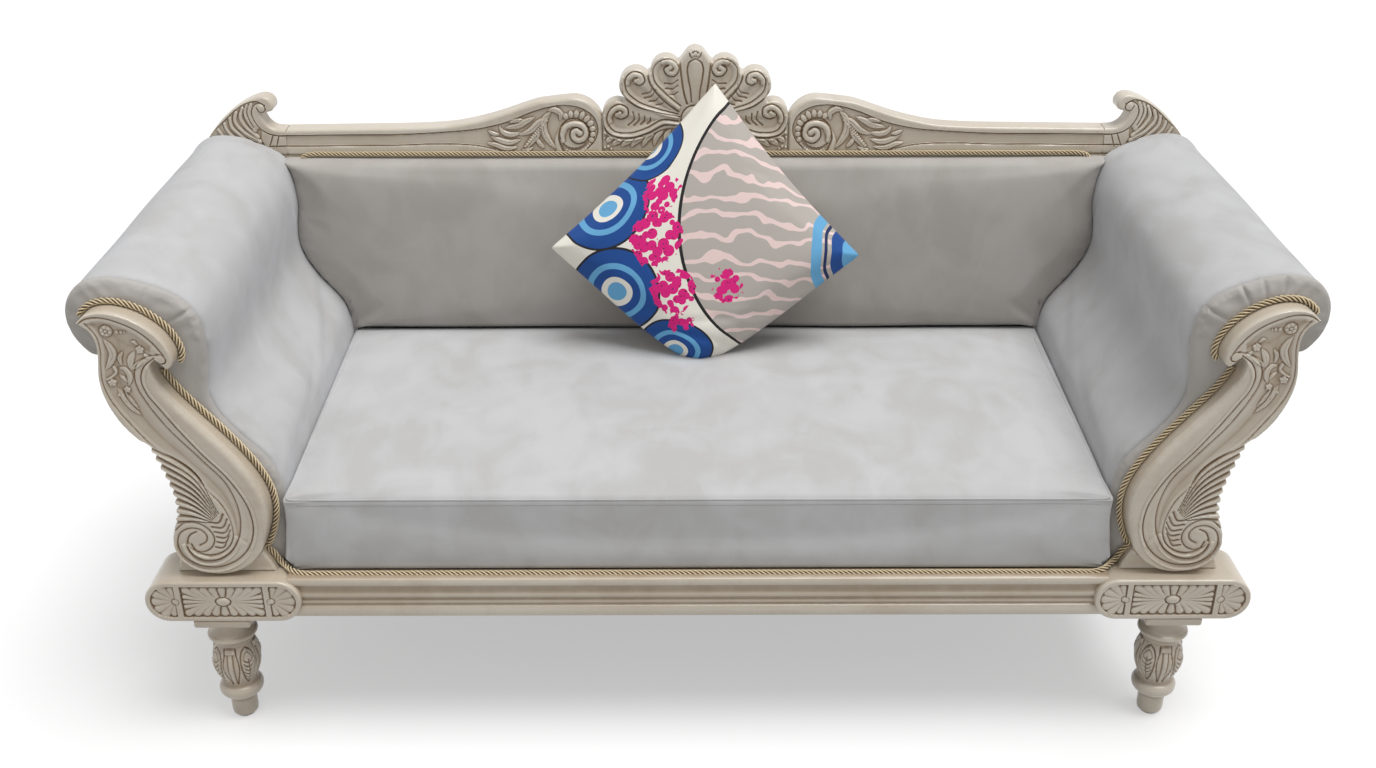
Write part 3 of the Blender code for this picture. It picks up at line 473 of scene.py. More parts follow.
def spline(places, step, closed=False, corner=None):
    pts = np.asarray(places, float)
    corner = corner or (0.6 if closed else 2.2)
    count = len(pts)
    gap = np.roll(pts, -1, 0) - pts
    length = np.linalg.norm(gap, axis=1)
    unit = gap / np.maximum(length, 1e-9)[:, None]
    came = np.roll(unit, 1, 0)
    cameLength = np.roll(length, 1)
    cosine = np.clip((came * unit).sum(1), -1, 1)
    sharp = np.arccos(cosine) > corner
    if not closed:
        sharp[0] = sharp[-1] = True
    smooth = (came * length[:, None] + unit * cameLength[:, None]) / (length + cameLength)[:, None]
    out = []
    for i in range(count if closed else count - 1):
        j = (i + 1) % count
        start = unit[i] if sharp[i] or (closed and length[i] > 5 * length[i - 1]) else smooth[i]
        end = unit[i] if sharp[j] or (closed and length[i] > 5 * length[j]) else smooth[j]
        steps = max(1, int(math.ceil(length[i] / step)))
        t = (np.arange(steps) / steps)[:, None]
        out.append((2 * t**3 - 3 * t**2 + 1) * pts[i] + (t**3 - 2 * t**2 + t) * length[i] * start
                   + (3 * t**2 - 2 * t**3) * pts[j] + (t**3 - t**2) * length[i] * end)
    if not closed:
        out.append(pts[-1:])
    return np.vstack(out)


def offsetPath(path, distance):
    ahead = np.gradient(path, axis=0)
    side = np.stack([ahead[:, 1], -ahead[:, 0]], 1)
    return path + distance * side / np.linalg.norm(side, axis=1)[:, None]


def stretchOf(loop, start, end):
    # part of a closed outline between two places, the way round that it was drawn
    a = int(np.argmin(np.linalg.norm(loop - start, axis=1)))
    b = int(np.argmin(np.linalg.norm(loop - end, axis=1)))
    return loop[a:b + 1] if b >= a else np.vstack([loop[a:], loop[:b + 1]])


def stroke(*places, step=0.002):
    return spline(mm(*places), step)


def arc(centre, radius, start=0, turns=1, steps=48):
    angle = np.radians(start) + 2 * math.pi * turns * np.linspace(0, 1, steps)
    return np.stack([centre[0] + radius * np.cos(angle), centre[1] + radius * np.sin(angle)], 1)


def outlineOf(node, share=0.5, lean=0.0):
    cut = bmesh.new()
    cut.from_mesh(nodes[node].data)
    bmesh.ops.remove_doubles(cut, verts=cut.verts, dist=1e-5)
    for v in cut.verts:
        v.co.y -= (v.co.z - railTop) * lean
    depths = [v.co.y for v in cut.verts]
    at = min(depths) + share * (max(depths) - min(depths))
    parts = cut.verts[:] + cut.edges[:] + cut.faces[:]
    made = bmesh.ops.bisect_plane(cut, geom=parts, plane_co=(0, at, 0), plane_no=(0, 1, 0))
    # a dictionary keeps its order, so that every run starts at the same edge
    left = dict.fromkeys(e for e in made["geom_cut"] if isinstance(e, bmesh.types.BMEdge))
    loops = []
    while left:
        edge = next(iter(left))
        del left[edge]
        chain = [edge.verts[0], edge.verts[1]]
        while True:
            ahead = [e for e in chain[-1].link_edges if e in left]
            if not ahead:
                break
            del left[ahead[0]]
            chain.append(ahead[0].other_vert(chain[-1]))
        loops.append(np.array([(v.co.x, v.co.z) for v in chain[:-1]]))
    cut.free()
    loop = max(loops, key=len)
    gap = np.roll(loop, -1, 0) - loop
    loop = loop[np.linalg.norm(gap, axis=1) > 1e-5]
    gap = np.roll(loop, -1, 0) - loop
    heading = np.arctan2(gap[:, 1], gap[:, 0])
    turn = (heading - np.roll(heading, 1) + math.pi) % (2 * math.pi) - math.pi
    loop = loop[np.abs(turn) > math.radians(0.6)]
    ahead = np.roll(loop, -1, 0)
    area = (loop[:, 0] * ahead[:, 1] - ahead[:, 0] * loop[:, 1]).sum()
    return loop if area > 0 else loop[::-1]


def nearest(spots, path, reach):
    best = np.full(len(spots), np.inf)
    place = np.zeros(len(spots))
    steps = np.linalg.norm(np.diff(path, axis=0), axis=1)
    along = np.concatenate([[0], np.cumsum(steps)]) / max(steps.sum(), 1e-9)
    order = np.argsort(spots[:, 0])
    across = spots[order, 0]
    for a, b, start, end in zip(path, path[1:], along, along[1:]):
        low = np.minimum(a, b) - reach
        high = np.maximum(a, b) + reach
        band = order[np.searchsorted(across, low[0]):np.searchsorted(across, high[0])]
        band = band[(spots[band, 1] > low[1]) & (spots[band, 1] < high[1])]
        if not len(band):
            continue
        gap = b - a
        t = clamp(((spots[band] - a) @ gap) / max(gap @ gap, 1e-12))
        off = np.linalg.norm(spots[band] - a - t[:, None] * gap, axis=1)
        closer = off < best[band]
        pick = band[closer]
        best[pick] = off[closer]
        place[pick] = start + t[closer] * (end - start)
    return best, place


def inside(spots, polygon):
    hit = np.zeros(len(spots), bool)
    x, y = spots[:, 0], spots[:, 1]
    for (ax, ay), (bx, by) in zip(polygon, np.roll(polygon, -1, 0)):
        if ay == by:
            continue
        crosses = (ay > y) != (by > y)
        hit ^= crosses & (x < (bx - ax) * (y - ay) / (by - ay) + ax)
    return hit


def closedPath(loop):
    return np.vstack([loop, loop[:1]])


# Carving on a flat face: raised work lies on the ground, and cuts go through both
class Carving:
    ribWidth = 0.0011  # half the vein down a leaf
    edgeWidth = 0.0013  # half the cut round a leaf
    edgeDepth = 0.0007
    dishReach = 0.03  # where a dished floor is at its deepest

    def __init__(self, spots):
        self.spots = spots
        self.ground = np.zeros(len(spots))
        self.raised = np.zeros(len(spots))
        self.cuts = np.zeros(len(spots))

    def reachOf(self, path, width, ends):
        off, along = nearest(self.spots, path, width)
        half = width / 2 * (ends[0] + (ends[1] - ends[0]) * along)
        return clamp(off / np.maximum(half, 1e-6)), along

    def cut(self, path, width, depth, ends=(1, 1)):
        off, along = self.reachOf(path, width, ends)
        taper = np.minimum(1, 0.4 + ends[0] + (ends[1] - ends[0]) * along)
        self.cuts = np.maximum(self.cuts, depth * (1 - off**2) * taper)

    def groove(self, path, broad, deep, ends=(1, 1)):
        # a shallow cut with a narrower one down its middle, each a width and a depth
        self.cut(path, *broad, ends)
        self.cut(path, *deep, ends)

    def reed(self, path, width, height, ends=(1, 1)):
        off, along = self.reachOf(path, width, ends)
        share = ends[0] + (ends[1] - ends[0]) * along
        self.raised = np.maximum(self.raised, height * share**0.5 * np.sqrt(1 - off**2))

    def leaf(self, path, width, height, rib=0.0):
        off, along = nearest(self.spots, path, width)
        half = width / 2 * np.sin(math.pi * np.clip(along, 0.02, 0.98)) ** 0.6
        u = clamp(off / np.maximum(half, 1e-6))
        swell = height * np.sqrt(1 - u**2) * (0.55 + 0.45 * np.sin(math.pi * along))
        if rib:
            swell = swell - rib * clamp(1 - off / self.ribWidth) * (u < 1)
        self.raised = np.maximum(self.raised, np.where(u < 1, swell, 0))
        edge = clamp(1 - np.abs(off - half) / self.edgeWidth) * (off < width)
        self.cuts = np.maximum(self.cuts, self.edgeDepth * edge)

    def dome(self, centre, radius, height):
        off = np.linalg.norm(self.spots - np.asarray(centre), axis=1) / radius
        self.raised = np.maximum(self.raised, height * np.sqrt(clamp(1 - off**2)))

    def beads(self, places, height):
        for x, z, radius in places:
            self.dome(dot(x, z), radius / 1000, height)

    def sink(self, polygon, depth, slope, dish=0.0):
        within = inside(self.spots, polygon)
        off = nearest(self.spots, closedPath(polygon), max(slope, self.dishReach))[0]
        off = np.where(np.isfinite(off), off, self.dishReach)
        wall = clamp(off / slope)
        floor = depth * eased(wall) + dish * clamp(off / self.dishReach)
        self.ground = np.where(within, self.ground - floor, self.ground)

    def swell(self, path, width, height):
        off = self.reachOf(path, width, (1, 1))[0]
        self.ground = self.ground + height * (1 - off**2) ** 1.5

    def height(self):
        return self.ground + self.raised - self.cuts


def gridWithin(loop, cell):
    low, high = loop.min(0), loop.max(0)
    rows = np.arange(low[1], high[1], cell * math.sqrt(3) / 2)
    columns = np.arange(low[0], high[0], cell)
    x, z = np.meshgrid(columns, rows)
    x = x + (np.arange(len(rows)) % 2)[:, None] * cell / 2
    spots = np.stack([x.ravel(), z.ravel()], 1)
    spots = spots[inside(spots, loop)]
    off = nearest(spots, closedPath(loop), cell)[0]
    return spots[off > cell * 0.6]  # none crowds the outline


def flatFaces(points, loopCount):
    edges = [(i, (i + 1) % loopCount) for i in range(loopCount)]
    made = geometry.delaunay_2d_cdt([Vector(p) for p in points], edges, [], 1, 1e-7)
    assert len(made[0]) == len(points)
    return np.array(made[2])


def roundOver(share):
    lip = 1 - clamp(share)
    return 1 - np.sqrt(1 - lip**2)


# A board with a carved front: the outline's walls, a plain back and the carved face
board = {
    "cavityDepth": 0.0011,  # of a groove that the glaze fills
    "blurTurns": 10,
    "broadTurns": 70,
    "plainDrop": 0.0015,  # no glaze where the rounded edge has dropped this far
    "jointReach": 0.0008,
    "rollFade": 0.06,
    "wallInset": 0.003,
    "wallTone": 0.25,
    "crease": 38,
}


def onSides(names, points, faces, sharp, marks, finish):
    made = []
    for side, (name, replaced) in names.items():
        turned = faces if side > 0 else [face[::-1] for face in faces]
        piece = newPiece(name, points * np.array([side, 1, 1]), turned, sharp, marks)
        made.append(adopt(piece, finish, replaced))
    return made


def carvedBoard(names, loop, carve, sizes, place, finish=None):
    edge, front, back, count = sizes["edge"], sizes["front"], sizes["back"], len(loop)
    spots = np.vstack([loop, gridWithin(loop, sizes["cell"])])
    faces = flatFaces(spots, count)
    work = Carving(spots)
    carve(work)
    rim = closedPath(loop)
    if "butted" in sizes:
        # the joint with the next board keeps its edge
        joint = np.abs(loop[:, 0] - sizes["butted"]) < board["jointReach"]
        last = int(np.flatnonzero(joint & ~np.roll(joint, -1))[0])
        rim = np.roll(loop, -last, 0)[:count - joint.sum() + 2]
    drop = edge * roundOver(nearest(spots, rim, edge)[0] / edge)
    deepest = edge
    if "rolled" in sizes:
        path, roll = sizes["rolled"]
        off, along = nearest(spots, path, roll)
        ends = clamp(np.minimum(along, 1 - along) / board["rollFade"])
        drop = np.maximum(drop, roll * roundOver(off / roll) * ends)
        deepest = max(edge, roll)
    height = work.height() - drop
    links = np.vstack([faces[:, [0, 1]], faces[:, [1, 2]], faces[:, [2, 0]]])
    near = height.copy()
    depth = sizes.get("cavityDepth", board["cavityDepth"])
    for turn in range(board["broadTurns"]):
        near = 0.4 * near + 0.6 * neighbourMean(near, links)
        if turn == board["blurTurns"]:
            cavity = clamp((near - height) / depth)
            ridge = clamp((height - near) / depth)
    hollow = clamp((near - height) / (1.6 * depth) + np.maximum(-height - 0.002, 0) / 0.012)
    plain = clamp(1 - drop / board["plainDrop"])
    rows = [np.stack([spots[:, 0], front - height, spots[:, 1]], 1)]
    inset = board["wallInset"]
    for level in (front + deepest + inset, (front + back) / 2, back - inset, back):
        rows.append(np.stack([loop[:, 0], np.full(count, level), loop[:, 1]], 1))
    starts = [0] + [len(spots) + k * count for k in range(len(rows) - 1)]
    allFaces = faces.tolist()
    for a, b in zip(starts, starts[1:]):
        allFaces += wallFaces(a, b, count)
    allFaces += (flatFaces(loop, count)[:, ::-1] + starts[-1]).tolist()
    walls = np.zeros((len(rows) - 1) * count)
    marks = {"cavity": np.append(cavity * plain, walls), "ridge": np.append(ridge, walls),
             "hollow": np.append(hollow * plain, walls + board["wallTone"])}
    return onSides(names, place(np.vstack(rows)), allFaces, board["crease"], marks, finish or wood)


def armPlace(points):
    return points + np.array([settee["seatSide"], 0, railTop])


def crestPlace(points):
    points[:, 2] += railTop
    points[:, 1] += backPlane(points[:, 2])
    return points


def localArm(loop):
    return loop - np.array([settee["seatSide"], railTop])


def crestLoop(node):
    return outlineOf(node, 0.5, settee["backLean"]) - np.array([0, railTop])


sides = {1: "right", -1: "left"}


def bothSides(stem, work="carved"):
    return {side: ("%s_%s_%s" % (stem, work, end), (stem + "_" + end,)) for side, end in sides.items()}


# Where the ropes run round the arms, out from the seat side and up from the rails
ropePath = {
    "clearance": 0.0003,
    "topStart": (0.281, 0.481),
    "topEnd": (0.143, 0.402),
    "innerStart": (0.172, 0.383),
    "innerEnd": (0.041, 0.050),
    "turn": ((0.008, 0.08, 0.006), (0.020, 0.38, 0.001), (0.034, 0.85, 0.0), (0.056, 1.0, -0.004)),
    "seatLine": 0.031,  # foot of the seat front behind the front line
    "backDrop": ((0.034, 0.0), (0.014, -0.0035), (0.003, -0.014), (-0.001, -0.030)),
    "backInset": 0.0015,
}


# Arm scrolls. Places are millimetres out from the seat side and up from the rails
armScroll = {
    "cell": 0.00125,
    "edge": 0.0028,
    "rimLine": mm((166, 420), (185, 404), (193, 381), (189, 359), (172, 329), (148, 290), (120, 249),
                  (72, 184), (50, 127), (49, 94), (62, 57), (88, 31), (120, 19), (153, 24), (177, 44),
                  (182, 70), (174, 89), (156, 98), (138, 94), (130, 82), (133, 71), (144, 64)),
    "panelInner": mm((158, 426), (180, 421), (195, 409), (203, 391), (202, 366), (192, 340), (169, 298),
                     (118, 231), (83, 183), (71, 143), (70, 104), (77, 76), (94, 49), (121, 33), (146, 34),
                     (161, 49), (165, 70), (158, 85), (147, 91)),
    "panelOuter": mm((266, 481), (252, 458), (250, 432), (254, 407), (256, 376), (250, 348), (237, 321),
                     (222, 297), (200, 265), (158, 221), (121, 177), (96, 143), (85, 104), (86, 78),
                     (96, 59), (113, 47), (134, 44), (153, 53), (159, 66)),
    "panelTop": mm((256, 487), (240, 488), (213, 480), (185, 463), (165, 442)),
    "ballLine": mm((192, 84), (159, 110), (136, 105), (121, 89), (118, 75), (125, 59), (143, 50), (159, 57),
                   (165, 72)),
    "fluteRoots": mm((103, 128), (120, 109)),
    "fluteTips": mm((203, 254), (192, 226), (187, 206), (183, 188), (179, 170), (175, 153), (174, 138),
                    (178, 122), (183, 108)),
    "volute": ((62, 57), (77, 76), (86, 78)),
    "flutes": 9,
    "scallops": 6,
    "roll": 0.0120,
    "bandCut": (0.0032, 0.0034),  # width and depth
    "bands": ((0.0078, 0.0150), (0.0066, 0.0126), (0.0054, 0.0102)),  # offset and width in the volute
    "scallopStart": ((97, 125), (90, 114), (88, 102), (90, 88), (97, 72)),
    "scallopStop": ((122, 110), (118, 99), (115, 87), (114, 75), (119, 60)),
    "rosette": (236, 467),
    "buds": ((219, 465, 3.4), (212, 465, 2.8), (206, 465, 2.0), (234, 352, 2.6)),  # place and radius
    "flowers": ((241, 375, 6.4), (219, 362, 5.4), (187, 434, 6.6)),
    "leaves": (  # width, then places from root to tip
        (13.0, ((242, 453), (235, 440), (232, 427), (237, 413), (247, 399))),
        (10.5, ((228, 401), (217, 399), (211, 390), (212, 379), (216, 369))),
        (7.5, ((229, 388), (222, 383), (216, 374))),
        (12.0, ((207, 398), (205, 415), (196, 431))),
        (7.5, ((221, 404), (223, 418), (216, 430))),
        (7.0, ((189, 441), (194, 447), (201, 448))),
        (7.0, ((182, 428), (176, 422), (172, 421))),
        (8.5, ((182, 417), (193, 409), (206, 399))),
        (9.0, ((235, 366), (230, 351), (218, 329), (203, 313))),
        (7.5, ((225, 359), (216, 341), (206, 324))),
        (6.0, ((232, 364), (226, 346), (217, 334))),
    ),
}


def carveArm(work):
    s = armScroll
    rim, inner, outer, crown, ball = (
        spline(s[k], 0.003) for k in ("rimLine", "panelInner", "panelOuter", "panelTop", "ballLine"))
    # trough down the shaft, which runs out where the volute turns in
    shaft = [line[:int(np.argmin(np.linalg.norm(line - stop, axis=1)))]
             for line, stop in zip((rim, inner, outer), mm(*s["volute"]))]
    work.sink(np.vstack([shaft[2][::-1], crown, shaft[0]]), 0.0020, 0.0080)
    work.sink(np.vstack([shaft[2][::-1], crown, shaft[1]]), 0.0012, 0.0030, 0.0050)
    for line, wide in ((rim, 0.0100), (inner, 0.0080), (outer, 0.0080), (ball, 0.0090)):
        work.groove(line, (wide, 0.0015), s["bandCut"])
    work.reed(offsetPath(shaft[0], 0.0042), 0.0060, 0.0014)
    # bands of the volute are rolled, up to its far side
    for line, near, (away, wide) in zip((rim, inner, outer), shaft, s["bands"]):
        tail = line[len(near):]
        tail = tail[:int(np.argmax(tail[:, 0])) + 1]
        work.reed(offsetPath(tail, away), wide, 0.0034, (0.05, 0.7))
    top = stroke((281, 478), (264, 489), (240, 491), (213, 483), (183, 466), (162, 444), (150, 424),
                 step=0.003)
    work.groove(top, (0.0090, 0.0014), (0.0034, 0.0032))
    work.cut(stroke((166, 419), (158, 411), (150, 411), (147, 417), (151, 424), (161, 428)), 0.0028, 0.0026)
    # reeds of the shell fan, from their roots beside the ball to the toothed edge
    tips = spline(s["fluteTips"], 0.001)
    far = np.concatenate([[0], np.cumsum(np.linalg.norm(np.diff(tips, axis=0), axis=1))])
    first, last = s["fluteRoots"]
    for share in np.arange(s["flutes"] + 1) / s["flutes"]:
        tip = np.array([np.interp(share * far[-1], far, tips[:, c]) for c in (0, 1)])
        root = first + (last - first) * share
        chord = tip - root
        bend = np.array([-chord[1], chord[0]]) * (0.14 - 0.10 * share)
        line = spline(np.array([root, root + chord * 0.5 + bend, tip + chord * 0.06]), 0.003)
        work.cut(line, 0.0112, 0.0040, (0.14, 1))
        work.cut(line, 0.0034, 0.0052, (0.30, 1))
    # ridges across the channel under the ball
    start, stop = (stroke(*s[k], step=0.001) for k in ("scallopStart", "scallopStop"))
    for share in np.arange(s["scallops"]) / (s["scallops"] - 1):
        a, b = (line[int(share * (len(line) - 1))] for line in (start, stop))
        sag = np.array([-0.1, -0.3]) * np.linalg.norm(b - a)
        ridge = spline(np.array([a, (a + b) / 2 + sag, b]), 0.001)
        work.groove(ridge, (0.0090, 0.0024), (0.0036, 0.0036), (1, 0.6))
    # flower, buds and leaves at the top of the panel
    rosette = dot(*s["rosette"])
    work.dome(rosette, 0.0115, 0.0022)
    work.cut(arc(rosette, 0.0108), 0.0016, 0.0016)
    for turn in range(20, 380, 60):
        work.dome(rosette + 0.0062 * aim(math.radians(turn)), 0.0036, 0.0042)
    work.dome(rosette, 0.0034, 0.0046)
    work.beads(s["buds"], 0.0032)
    for x, z, r in s["flowers"]:
        flower = dot(x, z)
        for angle in np.radians(np.arange(5) * 72 + 18):
            work.dome(flower + r * 0.00062 * aim(angle), r * 0.00050, 0.0036)
        work.dome(flower, r * 0.00036, 0.0044)
    work.reed(stroke((234, 402), (232, 394), (239, 386), (248, 381)), 0.0056, 0.0030, (1, 0.7))
    for wide, leaf in s["leaves"]:
        work.leaf(stroke(*leaf), wide / 1000, 0.0030, 0.0012)


def toothed(loop):
    # the fan's reeds end in small teeth on the outer edge
    tips = spline(armScroll["fluteTips"], 0.0005)
    off, along = nearest(loop, tips, 0.012)
    near = np.isfinite(off) & (along > 0.001) & (along < 0.999) & (loop[:, 0] > 0.16)
    wave = np.abs(np.sin(math.pi * along * armScroll["flutes"]))
    ahead = np.roll(loop, -1, 0) - np.roll(loop, 1, 0)
    out = np.stack([ahead[:, 1], -ahead[:, 0]], 1)
    out /= np.maximum(np.linalg.norm(out, axis=1), 1e-9)[:, None]
    fade = clamp(along / 0.06) * clamp((1 - along) / 0.06)
    return loop + np.where(near, (0.0052 * wave - 0.0020) * fade, 0)[:, None] * out


def makeArmScrolls():
    loop = spline(localArm(outlineOf("arm_scroll_right")), 0.0014, True)
    low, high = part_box("arm_scroll_right")
    inner = stretchOf(loop, ropePath["innerStart"], ropePath["innerEnd"])
    sizes = dict(armScroll, front=low.y, back=high.y, rolled=(inner, armScroll["roll"]))
    carvedBoard(bothSides("arm_scroll"), toothed(loop), carveArm, sizes, armPlace)


makeArmScrolls()
print("arm scrolls carved")


# Plinths under the scrolls
armPlinth = {"cell": 0.003, "edge": 0.0035, "cavityDepth": 0.002, "flare": 0.0045, "flareReach": 0.006}


def makePlinths():
    s = armPlinth
    loop = spline(localArm(outlineOf("arm_plinth_right")), 0.002, True)
    low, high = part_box("arm_plinth_right")

    def carve(work):
        rise = np.maximum(work.spots[:, 1], 0)
        work.ground = s["flare"] * np.exp(-rise / s["flareReach"]) - 0.001

    sizes = dict(s, front=low.y + s["flare"], back=high.y)
    carvedBoard(bothSides("arm_plinth"), loop, carve, sizes, armPlace)


makePlinths()

# Corner blocks with a sunburst panel and a half-round fan at each end
cornerBlock = {
    "cell": 0.0010,
    "edge": 0.0035,
    "rim": 0.0085,
    "bar": 0.0770,
    "barWidth": 0.0100,
    "across": 9,  # petals that end on the long sides
    "upright": 3,  # and on the short ones
    "fan": 7,
    "boss": (0.0125, 0.0085),
    "bossHeight": 0.0062,
    "margin": 0.0012,  # between the petals and their frame
    "cavityDepth": 0.0013,
}


def petal(work, hub, tip, wide, lift):
    # grows out of the hub, then bends to meet the frame
    turn = hub + (tip - hub) * np.array([0.62, 0.40 if abs(tip[1] - hub[1]) > 0.02 else 0.55])
    work.reed(spline(np.array([hub, turn, tip]), 0.002), wide, lift, (0.24, 1))


def makeCornerBlocks():
    s = cornerBlock
    low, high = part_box("corner_block_right")
    middle = np.array([(low.x + high.x) / 2, 0, (low.z + high.z) / 2])
    radius = (high.z - low.z) / 2
    straight = (high.x - low.x) / 2 - radius

    def stadium(inset):
        sweep = np.radians(np.linspace(-90, 90, 64))
        r = radius - inset
        half = np.stack([straight + r * np.cos(sweep), r * np.sin(sweep)], 1)
        return np.vstack([half, -half])

    def carve(work):
        work.sink(stadium(s["rim"]), 0.0046, 0.0014)
        onBar = np.abs(np.abs(work.spots[:, 0]) - s["bar"]) < s["barWidth"] / 2
        work.ground = np.where(onBar, 0, work.ground)
        tall = radius - s["rim"] - s["margin"]
        wide = s["bar"] - s["barWidth"] / 2 - s["margin"]
        step = 2 * wide / s["across"]
        rise = 2 * (tall - step) / s["upright"]
        for side in (1, -1):
            for k in range(s["across"]):
                tip = np.array([-wide + (k + 0.5) * step, side * (tall - step * 0.46)])
                petal(work, np.zeros(2), tip, step * 0.94, 0.0040)
            for k in range(s["upright"]):
                tip = np.array([side * (wide - rise * 0.5), -tall + step + (k + 0.5) * rise])
                petal(work, np.zeros(2), tip, rise * 0.94, 0.0040)
            # half-round fan beyond the bar
            hub = np.array([side * (s["bar"] + s["barWidth"] / 2 + 0.001), 0])
            reach = straight + radius - s["rim"] - abs(hub[0]) - 0.0010
            for turn in (np.arange(s["fan"]) + 0.5) / s["fan"] * math.pi - math.pi / 2:
                rim = reach
                if abs(turn) > 1.2:
                    rim = min(reach + 0.002, tall / max(abs(math.sin(turn)), 0.1))
                half = rim * math.pi / s["fan"] * 0.44
                tip = hub + aim(turn) * np.array([side, 1]) * (rim - half)
                work.reed(np.array([hub, tip]), 2 * half, 0.0038, (0.26, 1))
            work.dome(hub, 0.0062, 0.0046)
            work.cut(arc(hub, 0.0066), 0.0016, 0.0014)
        framed = inside(work.spots, stadium(s["rim"] + 0.0004))
        work.raised = np.where(onBar | ~framed, 0, work.raised)
        boss = np.linalg.norm(work.spots / np.array(s["boss"]), axis=1)
        work.raised = np.where(boss < 1.16, 0.0006, work.raised)
        work.raised = np.where(boss < 1, s["bossHeight"] * np.sqrt(clamp(1 - boss**3)), work.raised)

    sizes = dict(s, front=low.y, back=high.y)
    loop = spline(stadium(0), 0.002, True)
    carvedBoard(bothSides("corner_block"), loop, carve, sizes, lambda points: points + middle)


makeCornerBlocks()
print("corner blocks carved")

# Crest palmette. Places are millimetres from the middle and up from the rails
palmette = {
    "cell": 0.0013,
    "edge": 0.0065,
    "roll": 0.0130,  # rounded band outside each curl, and inside its end
    "hub": (0, 568),
    "lobes": (
        ((30, 596), (64, 624), (84, 648), (85, 671), (68, 687), (46, 687), (33, 671), (42, 656), (57, 657),
         (64, 669), (54, 678)),
        ((35, 579), (80, 591), (119, 606), (142, 630), (142, 651), (127, 664), (107, 658), (104, 644),
         (116, 637), (127, 647), (119, 653)),
        ((35, 565), (66, 568), (101, 551), (138, 541), (170, 547), (182, 569), (174, 590), (156, 599),
         (139, 590), (139, 576), (155, 569), (167, 578), (159, 585)),
    ),
    "tails": (
        ((98, 668), (95, 648), (86, 630), (64, 606), (34, 584)),
        ((150, 640), (146, 616), (126, 599), (82, 584), (32, 574)),
        ((192, 562), (180, 541), (160, 533), (132, 532), (98, 541), (62, 557), (34, 557)),
    ),
    "eyes": ((49, 668), (117, 648), (155, 583)),
    "strokes": (
        ((35, 648), (48, 640), (62, 640)), ((36, 637), (48, 629), (60, 630)),
        ((36, 624), (44, 618), (52, 618)),
        ((86, 640), (92, 624), (108, 619)), ((80, 629), (90, 615), (104, 611)),
        ((72, 617), (82, 606), (94, 604)),
        ((62, 606), (70, 599), (80, 597)), ((128, 584), (126, 568), (138, 556)),
        ((116, 580), (116, 566), (126, 556)), ((104, 575), (105, 565), (112, 558)),
        ((92, 572), (93, 564), (99, 559)),
    ),
    "crown": ((0, 700, 4.6), (6, 698, 3.6), (9.5, 703, 3.0), (0, 708, 3.0), (5, 707, 3.0)),
    "ground": ((0, 540), (34, 552), (62, 551), (98, 536), (132, 527), (168, 530), (190, 545)),
    "leaves": (
        ((18, 549), (14, 522)), ((34, 549), (38, 520)), ((50, 549), (62, 517)), ((66, 546), (86, 514)),
        ((84, 539), (110, 512)), ((104, 532), (134, 511)), ((126, 526), (154, 513)), ((150, 526), (172, 515)),
        ((170, 531), (184, 521)),
    ),
    "berries": ((187, 540, 3.2), (188, 531, 2.6), (180, 513, 3.4), (187, 511, 3.0), (174, 508, 2.6)),
}


def carvePalmette(work):
    s = palmette
    roll = s["roll"]
    half = Carving(np.stack([np.abs(work.spots[:, 0]), work.spots[:, 1]], 1))
    for lobe, tail, eye in zip(s["lobes"], s["tails"], s["eyes"]):
        line = stroke(*lobe)
        count = len(line)
        half.sink(np.vstack([line[:int(count * 0.62)], mm(eye)]), 0.0030, 0.012, 0.0010)
        half.reed(offsetPath(line[:int(count * 0.60)], roll / 2), roll, 0.0040, (0.5, 0.4))
        half.reed(offsetPath(line[int(count * 0.55):], -roll * 0.42), roll * 0.8, 0.0036)
        half.cut(line, 0.0046, 0.0026, (0.8, 0.8))
        half.cut(stroke(*tail), 0.0046, 0.0030, (1, 0.7))
    # short curved strokes inside each curl
    for places in s["strokes"]:
        half.cut(stroke(*places), 0.0060, 0.0020, (0.6, 0.9))
    # leaf-shaped middle lobe
    half.cut(stroke((33, 697), (31, 676), (28, 650), (21, 612), (17, 600)), 0.0052, 0.0032)
    half.cut(stroke((0, 690), (11, 684), (16, 672), (15, 655), (10, 628), (8, 604)), 0.0044, 0.0026)
    half.swell(mm((0, 684), (0, 606)), 0.030, 0.0026)
    half.beads(s["crown"], 0.0034)
    half.cut(arc(dot(0, 702), 0.0125), 0.0022, 0.0016)
    # half-round hub
    hub = dot(*s["hub"])
    clear = np.linalg.norm(half.spots - hub, axis=1) < 0.029
    half.cuts[clear] = 0
    half.ground[clear] = 0
    half.dome(hub, 0.0285, 0.0050)
    half.cut(arc(hub, 0.0295), 0.0030, 0.0024)
    half.cut(arc(hub, 0.0190), 0.0022, 0.0016)
    # row of leaves below the curls
    half.sink(np.vstack([stroke(*s["ground"], step=0.003), mm((193, 500), (0, 500))]), 0.0030, 0.003)
    for leaf in s["leaves"]:
        root, tip = mm(*leaf)
        bow = np.array([0.10, 0.06]) * np.linalg.norm(tip - root)
        half.leaf(spline(np.array([root, (root + tip) / 2 + bow, tip]), 0.002), 0.0125, 0.0040, 0.0014)
    half.beads(s["berries"], 0.0036)
    work.ground, work.raised, work.cuts = half.ground, half.raised, half.cuts


def makeCrestBoard(names, node, carve, settings, step, joint=None, leftOut=None):
    loop = crestLoop(node)
    if leftOut:
        loop = loop[~leftOut(loop)]
    sizes = dict(settings, front=0.0, back=0.040)
    if joint is not None:
        sizes["butted"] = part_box(node)[joint].x
    carvedBoard(names, spline(loop, step, True), carve, sizes, crestPlace)


palmetteNames = {1: ("crest_palmette_carved", ("crest_palmette",))}
makeCrestBoard(palmetteNames, "crest_palmette", carvePalmette, palmette, 0.0018)
print("palmette carved")

